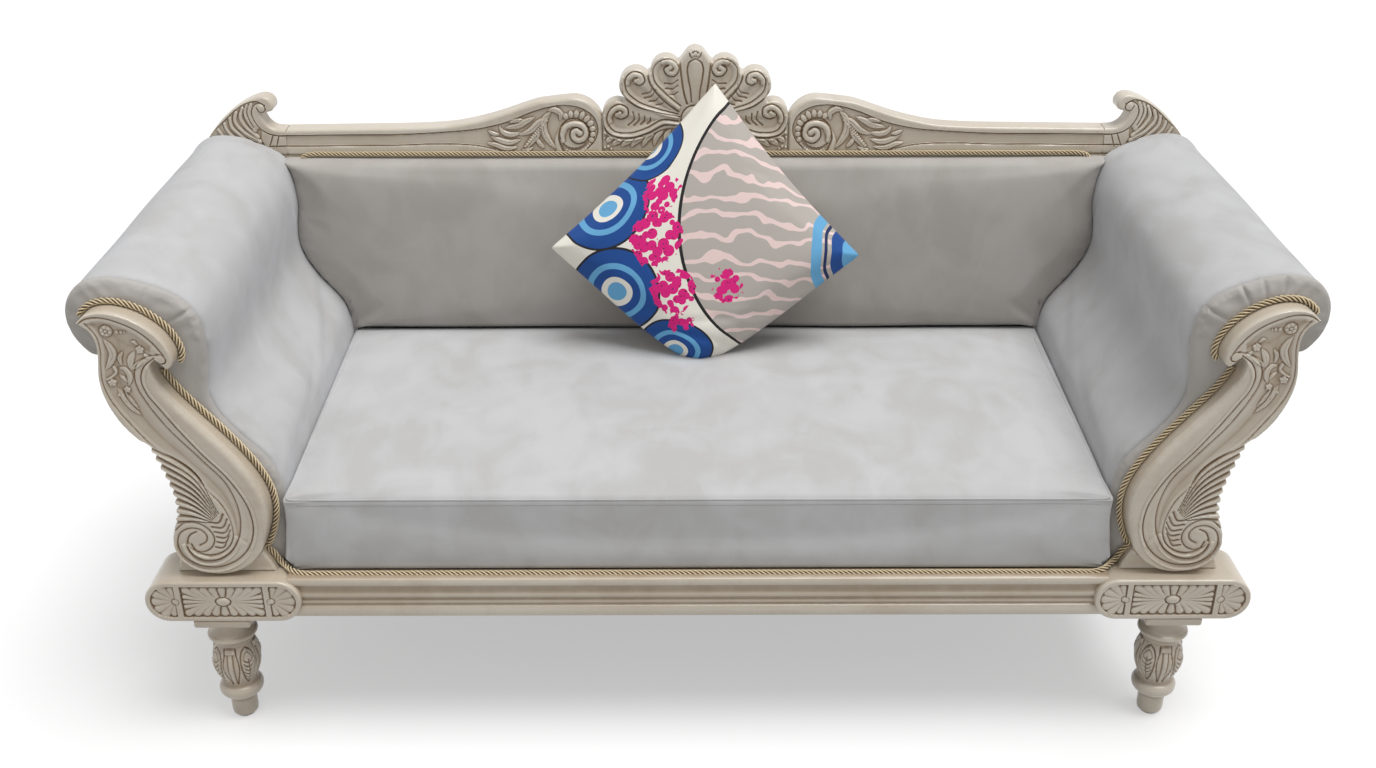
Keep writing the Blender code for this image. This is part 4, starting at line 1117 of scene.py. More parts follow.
# Crest rails, each with a volute beside the palmette
crestRail = {
    "cell": 0.0014,
    "edge": 0.0060,
    "roll": 0.0130,
    "rimLine": mm((850, 537), (720, 538), (606, 539), (510, 544), (446, 550), (383, 565), (335, 584),
                  (303, 593), (268, 597), (232, 590), (210, 574), (201, 547), (209, 524), (224, 509)),
    "footLine": mm((850, 515), (720, 516), (606, 517), (511, 519), (448, 515), (414, 508)),
    "ball": mm((274, 505), (282, 533), (271, 559), (248, 567), (226, 559), (218, 541), (227, 525), (244, 520),
               (258, 532), (256, 548), (244, 553), (234, 547)),
    "centre": (250, 540),
    "ballEdge": 0.0290,
    "shell": 9,
    "leaves": (  # width, then places from root to tip
        (13, ((279, 566), (277, 580), (288, 588), (304, 587))),
        (16, ((296, 586), (310, 570), (313, 548), (302, 524), (288, 509))),
        (15, ((300, 574), (322, 562), (340, 546), (362, 537))),
        (14, ((318, 556), (326, 538), (342, 520), (352, 507))),
        (10, ((350, 566), (364, 567), (384, 563))),
        (14, ((330, 573), (346, 566), (366, 556), (392, 552))),
        (12, ((360, 541), (382, 538), (398, 544), (404, 556))),
        (13, ((360, 528), (384, 522), (408, 528), (424, 536))),
        (12, ((368, 512), (392, 510), (412, 517), (432, 521))),
        (9, ((404, 538), (416, 540), (428, 546))),
        (9, ((336, 512), (346, 507), (360, 506))),
        (10, ((312, 510), (322, 520), (330, 534))),
    ),
    "podBeads": 14,
}


def carveCrestRail(work):
    s = crestRail
    rim, foot = spline(s["rimLine"], 0.004), spline(s["footLine"], 0.004)
    work.sink(np.vstack([rim, mm((240, 500), (405, 500)), foot[::-1]]), 0.0026, 0.0030, 0.0010)
    work.cut(rim, 0.0030, 0.0036)
    work.cut(foot, 0.0030, 0.0034)
    # ball of the volute stands up to the rim's level
    centre = dot(*s["centre"])
    work.ground[np.linalg.norm(work.spots - centre, axis=1) < s["ballEdge"]] = 0
    ball = spline(s["ball"], 0.002)
    work.reed(offsetPath(ball[10:], -s["roll"] / 2), s["roll"], 0.0046, (0.9, 1))
    work.reed(stroke((272, 548), (283, 524), (279, 498), step=0.003), 0.016, 0.0030)
    work.cut(ball, 0.0042, 0.0032, (1, 0.7))
    work.cut(arc(centre, 0.0300, -20, 0.62), 0.0026, 0.0024)
    # shell petals round the ball, then a run of beads
    for k in range(s["shell"]):
        way = aim(math.radians(64 + k * 17))
        root, tip = centre + way * 0.0315, centre + way * (0.0500 - 0.0014 * abs(k - 3))
        work.leaf(np.array([root, (root + tip) / 2, tip]), 0.0120, 0.0034, 0.0010)
    for turn in range(214, 304, 9):
        work.dome(centre + 0.0375 * aim(math.radians(turn)), 0.0032, 0.0026)
    # leaf spray that runs out along the rail
    for wide, leaf in s["leaves"]:
        work.leaf(stroke(*leaf, step=0.003), wide / 1000, 0.0042, 0.0016)
    # beaded pod in the spray
    for share in np.arange(s["podBeads"]) / (s["podBeads"] - 1):
        for row in (-1, 1):
            up = 566 - 52 * share + 3.4 * row * math.sin(math.pi * share)
            work.dome(dot(306 + 46 * share, up), 0.0026, 0.0052)


def kink(loop):
    # where two curves of the solid's outline meet, which the carved rim smooths over
    return (loop[:, 0] > 0.266) & (loop[:, 0] < 0.312) & (loop[:, 1] > 0.58)


makeCrestBoard(bothSides("crest_rail"), "crest_rail_right", carveCrestRail, crestRail, 0.0018, 1, kink)
print("crest rails carved")

# Crest ears, curled over at the ends of the back
crestEar = {
    "cell": 0.0011,
    "edge": 0.0060,
    "spiral": mm((901, 594), (896, 586), (888, 585), (883, 591), (886, 598), (894, 603), (905, 599),
                 (912, 586), (909, 570), (900, 555), (885, 543), (863, 537), (836, 537)),
    "upper": mm((884, 598), (900, 606), (921, 602), (944, 589), (968, 568), (995, 543), (1005, 530)),
    "flutes": (
        ((912, 600), (917, 584), (912, 566), (905, 553)), ((920, 598), (925, 582), (919, 564), (908, 548)),
        ((930, 592), (936, 574), (926, 554), (904, 534)), ((944, 584), (948, 568), (934, 546), (900, 524)),
        ((958, 573), (956, 556), (936, 534), (908, 512)), ((970, 561), (966, 548), (950, 530), (924, 508)),
        ((984, 549), (976, 536), (958, 518), (944, 506)),
    ),
}


def carveEar(work):
    s = crestEar
    curl, upper = spline(s["spiral"], 0.002), spline(s["upper"], 0.002)
    fan = np.vstack([upper[12:], mm((1000, 500), (880, 500), (895, 530)), curl[60:20:-1]])
    work.sink(fan, 0.0028, 0.0030)
    work.cut(curl, 0.0032, 0.0032, (0.6, 1))
    work.cut(upper, 0.0034, 0.0034)
    work.cut(mm((880, 515), (836, 516)), 0.0030, 0.0030)
    work.dome(dot(891, 593), 0.0085, 0.0024)
    for flute in s["flutes"]:
        line = stroke(*flute)
        work.reed(line, 0.0100, 0.0036, (0.7, 1))
        work.cut(line + np.array([0.0052, 0.0016]), 0.0024, 0.0018, (0.5, 1))
    for bar in (((872, 537), (881, 514)), ((860, 536), (867, 512))):
        work.cut(mm(*bar), 0.0030, 0.0026)


makeCrestBoard(bothSides("crest_ear"), "crest_ear_right", carveEar, crestEar, 0.0016, 0)
print("crest ears carved")

# Front rail: mouldings drawn as depth behind the rail's front, down from its top
frontRail = {
    "profile": ((32, 4), (32, 0.6), (31, 0), (2.4, 0), (0.6, 0.8), (0, 2.4), (0, 12), (0.8, 13.6),
                (2.2, 14.2), (3.8, 15.2), (4.8, 18), (5.0, 21), (4.6, 25), (4.0, 27.4), (3.2, 28.4),
                (2.6, 29.6), (1.2, 31), (0.6, 34), (1.2, 37), (2.4, 38.6), (4.2, 39.4), (4.8, 41),
                (4.4, 43.4), (3.0, 44.4), (2.0, 46), (1.4, 48), (2.0, 50), (3.2, 51.4), (3.8, 52.4),
                (3.6, 54.4), (2.0, 55.6), (0.6, 56.6), (0, 58.4), (0, 74.2), (0.7, 76), (2.4, 76.8)),
    "drawnHeight": 0.0772,
    "columns": 60,
}


def makeFrontRail():
    low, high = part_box("front_rail")
    profile = spline(mm(*frontRail["profile"]), 0.0007, corner=1.2)
    profile[:, 1] *= (high.z - low.z) / frontRail["drawnHeight"]
    deep = high.y - low.y
    profile = np.vstack([profile, [[deep, profile[-1, 1]], [deep, 0.004]]])
    back, up = profile[:, 0], high.z - profile[:, 1]
    # each end follows the solid's outline
    ends = {}
    loop = outlineOf("front_rail", 0.3)
    for x, z in loop[loop[:, 0] > 0]:
        ends[round(z, 5)] = max(ends.get(round(z, 5), 0), x)
    heights = sorted(ends)
    reach = np.interp(up, heights, [ends[z] for z in heights])
    shares = np.linspace(-1, 1, frontRail["columns"] + 1)
    points = np.vstack([np.stack([share * reach, low.y + back, up], 1) for share in shares])
    walls, lids = tubeFaces(len(shares), len(profile))
    faces = np.array(walls)[:, [0, 3, 2, 1]].tolist() + lids
    sink = clamp((back - 0.0008) / 0.0075)
    sink[:4] = 0
    sink[-3:] = 0.2
    tones = {"cavity": sink * 0.50, "ridge": (back < 0.0004) * 0.3,
             "hollow": np.clip(0.2 + back / 0.006, 0, 0.8)}
    marks = {key: np.tile(tone, len(shares)) for key, tone in tones.items()}
    piece = newPiece("front_rail_moulded", points, faces, 40, marks)
    adopt(piece, wood, ("front_rail",))


makeFrontRail()
print("front rail moulded")

# Turned front legs with leaves on the belly
frontLeg = {
    "profile": ((36.0, 0), (33.2, 4), (31.6, 10), (31.8, 17), (34.0, 24), (38.4, 30), (42.6, 33.4),
                (43.8, 36), (42.8, 38.8), (38.8, 41), (35.8, 44), (34.6, 49), (36.0, 60), (40.2, 74),
                (43.2, 88), (42.6, 100), (39.4, 113), (34.6, 126), (31.0, 136), (30.0, 141), (31.6, 144),
                (35.6, 147), (38.6, 152), (39.0, 157), (37.6, 163), (33, 169), (27, 172.6), (24.2, 175),
                (23.6, 182), (23.2, 196), (22.8, 209), (21.6, 213.5), (19.5, 215)),
    "abacus": 0.098,
    "abacusHeight": 0.016,
    "abacusCorner": 0.003,
    "belly": (0.050, 0.139),
    "bellyFade": 0.004,
    "girth": 0.040,
    "sides": 184,
}


# Leaves on the belly, on a quarter laid flat: millimetres from the panel's middle, and down the leg
def carveBelly(work):
    half = 31.4
    flip = np.array([-1, 1])
    panel = stroke((11, 56), (11.5, 68), (14, 86), (13.5, 104), (10, 122), (6.5, 137))
    work.sink(np.vstack([panel, panel[::-1] * flip]), 0.0010, 0.003)
    work.reed(mm((0, 70), (0, 136)), 0.0100, 0.0020)
    work.cut(panel, 0.0034, 0.0026)
    work.cut(mm((4.6, 69), (4.6, 136)), 0.0024, 0.0016)
    across, down = np.abs(work.spots - dot(0, 61)).T
    label = np.maximum(across / 0.0100, down / 0.0048)
    work.raised = np.maximum(work.raised, 0.0032 * clamp((1.1 - label) / 0.25))
    leaf = stroke((half, 58), (24, 63), (18.5, 76), (18, 92), (20, 108), (24, 124), (half - 1, 136))
    work.sink(np.vstack([leaf, leaf[::-1] * flip + mm((2 * half, 0))]), -0.0022, 0.005)
    work.cut(leaf, 0.0036, 0.0022)
    work.cut(mm((half, 80), (half, 135)), 0.0034, 0.0028, (0.6, 1))
    for drop in (86, 95, 104, 113, 122, 130):
        vein = stroke((half - 1.5, drop), (half - 6, drop - 3), (half - 9.5, drop - 9), step=0.0015)
        work.cut(vein, 0.0042, 0.0026, (1, 0.4))
    work.cut(stroke((half, 66), (half - 5, 70), (half - 8.5, 79), step=0.0015), 0.0036, 0.0020)


def squareCap(half, corner):
    # a square ring with rounded corners
    ring = []
    for k, (x, y) in enumerate(((1, 1), (-1, 1), (-1, -1), (1, -1))):
        for bend in np.radians(np.linspace(0, 90, 5)):
            ring.append(np.array([x, y]) * (half - corner) + corner * aim(bend + k * math.pi / 2))
    return np.array(ring)


def makeFrontLegs():
    s = frontLeg
    low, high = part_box("front_leg_right")
    middle = np.array([(low.x + high.x) / 2, (low.y + high.y) / 2, 0])
    capHeight = s["abacusHeight"]
    capFoot = railFoot - capHeight
    line = spline(mm(*s["profile"]), 0.0011)
    tall = (capFoot - low.z) / line[-1, 1]
    radius, drop = line[:, 0], line[:, 1]
    rows, sides = len(line), s["sides"]
    t, d = np.meshgrid(np.linspace(0, 2 * math.pi, sides, endpoint=False), drop)
    quarter = np.abs((t + math.pi / 4) % (math.pi / 2) - math.pi / 4) * s["girth"]
    work = Carving(np.stack([quarter.ravel(), d.ravel()], 1))
    carveBelly(work)
    start, stop = s["belly"]
    fade = clamp((d - start) / s["bellyFade"]) * clamp((stop - d) / s["bellyFade"])
    relief = (work.height().reshape(d.shape) - 0.0008) * fade
    r = radius[:, None] + relief
    # cavities of the leaves and of the turned hollows
    smooth = relief.copy()
    for _ in range(14):
        smooth = (smooth + np.roll(smooth, 1, 1) + np.roll(smooth, -1, 1)
                  + np.vstack([smooth[:1], smooth[:-1]]) + np.vstack([smooth[1:], smooth[-1:]])) / 5
    broad = radius.copy()
    for _ in range(60):
        broad[1:-1] = (broad[:-2] + broad[1:-1] + broad[2:]) / 3
    turned = clamp((broad - radius) / 0.0026)[:, None]
    grooves = (smooth - relief) / board["cavityDepth"]
    cavity = clamp(clamp(grooves) + 0.75 * turned)
    hollow = clamp(np.repeat(0.6 * turned, sides, 1) + 0.35 * (fade > 0.5))
    points = np.stack([r * np.sin(t), -r * np.cos(t), capFoot - d * tall], 2).reshape(-1, 3)
    # square cap with eased edges
    ease = 0.0022
    cap = []
    for level, inset in ((0, ease), (ease, 0), (capHeight - 0.0040, 0), (capHeight - 0.0016, 0.0012),
                         (capHeight, 0.0040)):
        ring = squareCap(s["abacus"] / 2 - inset, s["abacusCorner"])
        cap.append(np.column_stack([ring, np.full(len(ring), railFoot - level)]))
    walls, lids = tubeFaces(rows, sides)
    capWalls, capLids = tubeFaces(len(cap), len(cap[0]), len(points))
    faces = walls + [lid[::-1] for lid in lids] + capWalls + capLids
    plain = np.zeros(len(cap) * len(cap[0]))
    marks = {"cavity": np.append(cavity, plain), "ridge": np.append(clamp(-grooves), plain),
             "hollow": np.append(hollow, plain + 0.3)}
    points = np.vstack([points] + cap) + middle
    onSides(bothSides("front_leg", "turned"), points, faces, 45, marks, wood)


makeFrontLegs()
print("front legs turned")


# Plain wood keeps its solid, with the edges eased
def easedCopy(name, node, finish, ease):
    copy = bmesh.new()
    copy.from_mesh(nodes[node].data)
    bmesh.ops.remove_doubles(copy, verts=copy.verts, dist=1e-5)
    bmesh.ops.dissolve_limit(copy, angle_limit=math.radians(1), verts=copy.verts, edges=copy.edges)
    mesh = bpy.data.meshes.new(name)
    copy.to_mesh(mesh)
    copy.free()
    piece = linked(name, mesh)
    rounding = piece.modifiers.new("ease", "BEVEL")
    rounding.width = ease
    rounding.segments = 3
    rounding.angle_limit = math.radians(30)
    asMesh(piece)
    piece.data.set_sharp_from_angle(angle=math.radians(40))
    adopt(piece, finish, (node,))


for side in ("left", "right"):
    easedCopy("rear_leg_eased_" + side, "rear_leg_" + side, wood, 0.003)

pairs = ("side_rail", "seat_brace", "glue_block", "arm_rib", "arm_rail", "back_post", "back_stile")
plainFinishes = (
    (timber, ["rear_rail", "back_lower_rail", "back_top_rail"]
     + [p + e for p in pairs for e in ("_left", "_right")]),
    (webbing, ("seat_web_1", "seat_web_2", "seat_web_3", "seat_web_4", "back_web_1", "back_web_2")),
    (nylon, ("glide_front_left", "glide_front_right", "glide_rear_left", "glide_rear_right")),
)
for finish, members in plainFinishes:
    for node in members:
        nodes[node].data.materials.clear()
        nodes[node].data.materials.append(finish)
print("plain pieces finished")


# Dust cover, stapled under the rails and hanging a little between them
dustCover = {"sag": 0.007, "cell": 0.03}


def makeDustCover():
    low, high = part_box("dust_cover")
    across = np.linspace(low.x, high.x, int((high.x - low.x) / dustCover["cell"]))
    along = np.linspace(low.y, high.y, int((high.y - low.y) / dustCover["cell"]))
    x, y = np.meshgrid(across, along)
    u, v = (2 * (a - a.min()) / np.ptp(a) - 1 for a in (x, y))
    hang = dustCover["sag"] * (1 - u**4) * (1 - v**4)
    rows, columns = x.shape
    grid = np.arange(rows * columns).reshape(rows, columns)
    top = np.stack([grid[:-1, :-1], grid[:-1, 1:], grid[1:, 1:], grid[1:, :-1]], 2).reshape(-1, 4)
    rim = np.concatenate([grid[0, :-1], grid[:-1, -1], grid[-1, :0:-1], grid[:0:-1, 0]])
    under = rows * columns
    wall = np.stack([rim, rim + under, np.roll(rim, -1) + under, np.roll(rim, -1)], 1)
    sheets = [np.stack([x.ravel(), y.ravel(), (level - hang).ravel()], 1) for level in (high.z, low.z)]
    faces = top.tolist() + (top[:, ::-1] + under).tolist() + wall.tolist()
    piece = newPiece("dust_cover_cloth", np.vstack(sheets), faces, 60)
    adopt(piece, dustCloth, ("dust_cover",))


makeDustCover()
print("dust cover stapled")


# Padded pieces: a closed shape is remeshed, relaxed and blown up a little by the cloth solver
def relax(mesh, times, mask=1.0):
    points = pointsOf(mesh)
    edges = edgesOf(mesh)
    for _ in range(times):
        pull = np.stack([neighbourMean(points[:, k], edges) for k in range(3)], 1) - points
        points = points + 0.5 * np.reshape(mask, (-1, 1)) * pull
    setPoints(mesh, points)


def remeshed(piece, voxel):
    cover = piece.modifiers.new("cover", "REMESH")
    cover.mode = "VOXEL"
    cover.voxel_size = voxel
    return asMesh(piece)


def swell(piece, settings, held):
    mesh = piece.data
    start = pointsOf(mesh)
    group = piece.vertex_groups.new(name="held")
    for index in np.flatnonzero(held):
        group.add([int(index)], 1.0, "REPLACE")
    cloth = piece.modifiers.new("swell", "CLOTH")
    sewn = cloth.settings
    sewn.quality = 4
    sewn.mass = 0.3
    sewn.tension_stiffness = settings.get("tension", 15)
    sewn.compression_stiffness = settings.get("tension", 15)
    sewn.bending_stiffness = settings.get("bending", 0.5)
    sewn.use_pressure = True
    sewn.uniform_pressure_force = settings["pressure"]
    sewn.vertex_group_mass = "held"
    sewn.effector_weights.gravity = 0
    cloth.collision_settings.use_collision = False
    cloth.point_cache.frame_start = 1
    cloth.point_cache.frame_end = settings["frames"]
    for number in range(1, settings["frames"] + 1):
        scene.frame_set(number)
    plan = bpy.context.evaluated_depsgraph_get()
    moved = pointsOf(piece.evaluated_get(plan).data) - start
    piece.modifiers.clear()
    piece.vertex_groups.clear()
    scene.frame_set(1)
    size = np.linalg.norm(moved, axis=1)
    share = np.minimum(1, settings["cap"] / np.maximum(size, 1e-9))
    setPoints(mesh, start + moved * share[:, None])
    print(piece.name, "swelled by up to", round(float(size.max()) * 1000, 1), "mm")


def smoothOnce(piece):
    finer = piece.modifiers.new("finer", "SUBSURF")
    finer.levels = 1
    finer.render_levels = 1
    return asMesh(piece)


def softNoise(points, size, seed):
    # a few long sine waves make the slow unevenness of stuffing
    dice = np.random.default_rng(seed)
    total = np.zeros(len(points))
    for _ in range(9):
        way = dice.normal(size=3)
        way /= np.linalg.norm(way)
        length = size * dice.uniform(0.7, 1.6)
        total += np.sin(points @ way * (2 * math.pi / length) + dice.uniform(0, 6.28))
    return total / 4.5


def uneven(points, facing, s, share):
    return points + facing * (s["uneven"] * softNoise(points, s["wave"], s["seed"]) * share)[:, None]


# Arms: the pad over the roll, the border in front of it and the outside panel
armPad = {
    "voxel": 0.008,
    "step": 0.010,
    "rows": 26,
    "rearGap": 0.0008,
    "lap": 0.003,  # into the border, so that no gap shows from above
    "pressure": 3.0,
    "frames": 20,
    "cap": 0.004,
    "heldBelow": 0.16,
    "calmBelow": 0.12,
    "calmFade": 0.06,
    "uneven": 0.0014,
    "wave": 0.30,
    "seed": 12,
    "seamPull": 0.0012,
    "seamReach": 0.007,
}


def armShift(node):
    # how the outline drifts with depth, and the depth where it is read
    near, far = 0.1, 0.5
    middles = [(loop.min(0) + loop.max(0)) / 2 for loop in (outlineOf(node, near), outlineOf(node, far))]
    low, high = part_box(node)
    deep = high.y - low.y
    return (middles[1] - middles[0]) / ((far - near) * deep), low.y + near * deep


def armLoft(node, step, rows, rearGap, lap=0.0):
    loop = spline(outlineOf(node, 0.1), step, True)
    shift, level = armShift(node)
    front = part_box(node)[0].y - lap
    points = []
    for share in np.linspace(0, 1, rows):
        depth = np.full(len(loop), front)
        for _ in range(3):
            spot = loop + (depth - level)[:, None] * shift
            depth = front + share * (backPlane(spot[:, 1]) - rearGap - front)
        spot = loop + (depth - level)[:, None] * shift
        points.append(np.stack([spot[:, 0], depth, spot[:, 1]], 1))
    walls, lids = tubeFaces(rows, len(loop))
    return np.vstack(points), walls + lids


def mirrored(name, mesh):
    copy = mesh.copy()
    copy.name = name
    copy.transform(Matrix.Scale(-1, 4, (1, 0, 0)))
    copy.flip_normals()
    return linked(name, copy)


def makeArmPads():
    s = armPad
    points, faces = armLoft("arm_pad_right", s["step"], s["rows"], s["rearGap"], s["lap"])
    piece = newPiece("arm_upholstery_right", points, faces)
    remeshed(piece, s["voxel"])
    mesh = piece.data
    relax(mesh, 4)
    swell(piece, s, (normalsOf(mesh)[:, 1] > 0.6) | (pointsOf(mesh)[:, 2] < railTop + s["heldBelow"]))
    relax(mesh, 8)
    points, facing = pointsOf(mesh), normalsOf(mesh)
    points = uneven(points, facing, s, clamp((points[:, 2] - railTop - s["calmBelow"]) / s["calmFade"]))
    # the cover draws in to the seam with the border
    away = np.maximum(points[:, 1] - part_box("arm_pad_right")[0].y, 0)
    setPoints(mesh, points - facing * (s["seamPull"] * np.exp(-away / s["seamReach"]))[:, None])
    smoothOnce(piece)
    other = mirrored("arm_upholstery_left", piece.data)
    adopt(piece, velvet, ("arm_pad_right",))
    adopt(other, velvet, ("arm_pad_left",))
    return piece


def treeOf(piece):
    mesh = piece.data
    return BVHTree.FromPolygons([v.co for v in mesh.vertices], [list(p.vertices) for p in mesh.polygons])


armTree = treeOf(makeArmPads())
print("arms padded")


# Sides of the seat and back are drawn out until they meet the arms
meeting = {"gap": 0.0008, "frontInset": 0.012, "startInset": 0.06}


def meetArms(points, edgeAt, s):
    limit, reach = s["armLimit"], s["armReach"]
    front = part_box("arm_pad_right")[0].y + meeting["frontInset"]
    edge = edgeAt(points[:, 2])
    share = eased(clamp((np.abs(points[:, 0]) - edge + reach) / reach))
    for index in np.flatnonzero(share > 0):
        x, y, z = points[index]
        start = Vector((edge[index] - meeting["startInset"], max(y, front), z))
        hit = armTree.ray_cast(start, Vector((1, 0, 0)))[0]
        if hit is not None:
            move = min(limit, max(-limit, hit.x - meeting["gap"] - edge[index]))
            points[index, 0] += (1 if x > 0 else -1) * share[index] * move
    return points


seatPad = {
    "top": 0.456,
    "roll": 0.011,
    "footRoll": 0.004,
    "cell": 0.011,
    "crown": 0.020,
    "flare": 0.009,
    "sideGap": 0.001,
    "footGap": 0.0006,
    "pressure": 4.0,
    "frames": 20,
    "cap": 0.005,
    "uneven": 0.0015,
    "wave": 0.32,
    "seed": 4,
    "tuck": 0.0030,
    "tuckReach": 0.040,
    "tuckDeep": 0.05,
    "tuckFolds": 9,
    "footShare": 0.10,  # of the height, where the sharper edge ends
    "heldShare": 0.12,
    "calm": (0.03, 0.08),  # above the rails the cover is even up to here, and then less so over this
    "armLimit": 0.020,
    "armReach": 0.03,
}


def edgeLines(low, high, roll, cell):
    # lines of a grid, closer together inside the rolled edges
    zone = np.array([0, 0.12, 0.30, 0.55, 0.80]) * roll
    inner = np.linspace(low + roll, high - roll, max(2, int((high - low) / cell)))
    return np.concatenate([low + zone, inner, high - zone[::-1]])


def rolledBox(low, high, roll, cell):
    lines = [edgeLines(low[k], high[k], roll[k], cell) for k in range(3)]
    size = [len(line) for line in lines]
    index, points, faces = {}, [], []

    def spot(cellAt):
        if cellAt not in index:
            index[cellAt] = len(points)
            points.append([lines[k][cellAt[k]] for k in range(3)])
        return index[cellAt]

    for axis in range(3):
        u, v = (axis + 1) % 3, (axis + 2) % 3
        for end in (0, size[axis] - 1):
            for a in range(size[u] - 1):
                for b in range(size[v] - 1):
                    ring = []
                    for da, db in ((0, 0), (1, 0), (1, 1), (0, 1)):
                        at = [0, 0, 0]
                        at[axis], at[u], at[v] = end, a + da, b + db
                        ring.append(spot(tuple(at)))
                    faces.append(ring if end else ring[::-1])
    points = np.array(points)
    core = np.clip(points, np.array(low) + roll, np.array(high) - roll)
    off = points - core
    away = np.linalg.norm(off / roll, axis=1)
    return core + off / np.maximum(away, 1)[:, None], faces


def makeSeatPad():
    s = seatPad
    low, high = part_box("seat_pad")
    front = low.y + s["flare"]
    side = settee["seatSide"]
    width = side - s["sideGap"]
    points, faces = rolledBox((-width, front, railTop + s["footGap"]), (width, high.y, s["top"]),
                              np.full(3, s["roll"]), s["cell"])
    rise = clamp((points[:, 2] - railTop) / (s["top"] - railTop))
    # the foot comes forward, and keeps a sharper edge than the top
    foot = clamp(1 - rise / s["footShare"])
    points[:, 1] -= s["flare"] * (1 - rise) * clamp((0 - points[:, 1]) / 0.3)
    points[:, 1] -= foot * (s["roll"] - s["footRoll"]) * 0.29 * (points[:, 1] < front + 0.02)
    across = np.abs(points[:, 0]) / side
    along = (points[:, 1] - front) / (high.y - 0.02 - front)
    crown = (1 - across**4) * (1 - clamp(np.abs(2 * along - 1)) ** 3)
    points[:, 2] += s["crown"] * crown * clamp((rise - 0.5) / 0.5) ** 2
    piece = newPiece("seat_upholstery", points, faces)
    mesh = piece.data
    facing = normalsOf(mesh)
    setPoints(mesh, meetArms(pointsOf(mesh), lambda up: np.full(len(up), width), s))
    held = ((rise < s["heldShare"]) | (facing[:, 2] < -0.5) | (facing[:, 1] > 0.7)
            | (np.abs(facing[:, 0]) > 0.6))
    swell(piece, s, held)
    points, facing = pointsOf(mesh), normalsOf(mesh)
    start, fade = s["calm"]
    lift = clamp((points[:, 2] - railTop - start) / fade) * (np.abs(facing[:, 0]) < 0.5)
    points = uneven(points, facing, s, lift)
    # the cover is pulled in to tucks at the foot of the front corners
    for end in (1, -1):
        off = points - np.array([end * side, low.y, railTop + 0.005])
        angle = np.arctan2(off[:, 2], -end * off[:, 0])
        fold = np.sin(angle * s["tuckFolds"] + 0.6) * np.exp(-np.linalg.norm(off, axis=1) / s["tuckReach"])
        points[:, 1] += s["tuck"] * (fold * (points[:, 1] < low.y + s["tuckDeep"]))
    setPoints(mesh, points)
    adopt(piece, velvet, ("seat_pad",))
    return piece


seat = makeSeatPad()
print("seat padded")

backPad = {
    "cell": 0.008,
    "edge": 0.006,
    "bulge": 0.018,
    "bulgeReach": 0.06,
    "pressure": 4.0,
    "frames": 20,
    "cap": 0.005,
    "uneven": 0.0015,
    "wave": 0.34,
    "seed": 9,
    "footReach": 0.09,
    "footGap": 0.0006,
    "armLimit": 0.025,
    "armReach": 0.05,
}


def leanDepths(node):
    depths = [v.co.y - (v.co.z - railTop) * settee["backLean"] for v in nodes[node].data.vertices]
    return min(depths), max(depths)


def leant(points):
    points[:, 2] += railTop
    points[:, 1] += (points[:, 2] - railTop) * settee["backLean"]
    return points


def awayFrom(loop, spots, reach):
    off = nearest(spots, closedPath(loop), reach)[0]
    return np.where(np.isfinite(off), off, reach)


def makeBackPad():
    s = backPad
    loop = spline(crestLoop("back_pad"), 0.006, True)
    near, far = leanDepths("back_pad")

    def carve(work):
        away = awayFrom(loop, work.spots, 0.20)
        away[:len(loop)] = 0
        work.ground = s["bulge"] * (1 - np.exp(-away / s["bulgeReach"]))

    sizes = dict(s, front=near + s["bulge"], back=far)
    names = {1: ("back_upholstery", ("back_pad",))}
    # the back pad takes the velvet copy with painted shade
    piece = carvedBoard(names, loop, carve, sizes, leant, shadedUprightVelvet)[0]
    mesh = piece.data
    facing = normalsOf(mesh)
    right = loop[loop[:, 0] > 0]
    levels = np.linspace(right[:, 1].min(), right[:, 1].max(), 60)
    widths = [right[np.abs(right[:, 1] - level) < 0.007, 0].max() for level in levels]
    setPoints(mesh, meetArms(pointsOf(mesh), lambda up: np.interp(up - railTop, levels, widths), s))
    swell(piece, s, (facing[:, 1] > 0.2) | (np.abs(facing[:, 0]) > 0.6))
    points, facing = pointsOf(mesh), normalsOf(mesh)
    points = uneven(points, facing, s, clamp(-facing[:, 1]))
    # the foot comes down to lie on the seat
    tree = treeOf(seat)
    foot = points[:, 2].min()
    for index in np.flatnonzero(points[:, 2] < foot + s["footReach"]):
        x, y, z = points[index]
        hit = tree.ray_cast(Vector((x, y, 0.7)), Vector((0, 0, -1)))[0]
        if hit is not None:
            points[index, 2] -= eased(1 - (z - foot) / s["footReach"]) * (foot - hit.z - s["footGap"])
    setPoints(mesh, points)


makeBackPad()
print("back padded")

armBorder = {
    "voxel": 0.0045,
    "pressure": 3.0,
    "frames": 16,
    "cap": 0.0030,
    "roll": (0.212, 0.432),  # middle of the roll, out from the seat side and up from the rails
    "rollFace": (0.060, 0.035),  # pleats start this far from it, and reach full depth over this
    # by side: degrees round the roll and depth in millimetres
    "pleats": {1: ((118, 5.0), (98, 4.0), (78, 4.4), (152, 3.2)), -1: ((112, 2.6), (152, 3.0))},
    "fold": 0.0030,
    "besideFold": (0.008, 0.006),  # middle and width of the swelling next to it
    "faceDepth": 0.008,
    "uneven": 0.0006,
}


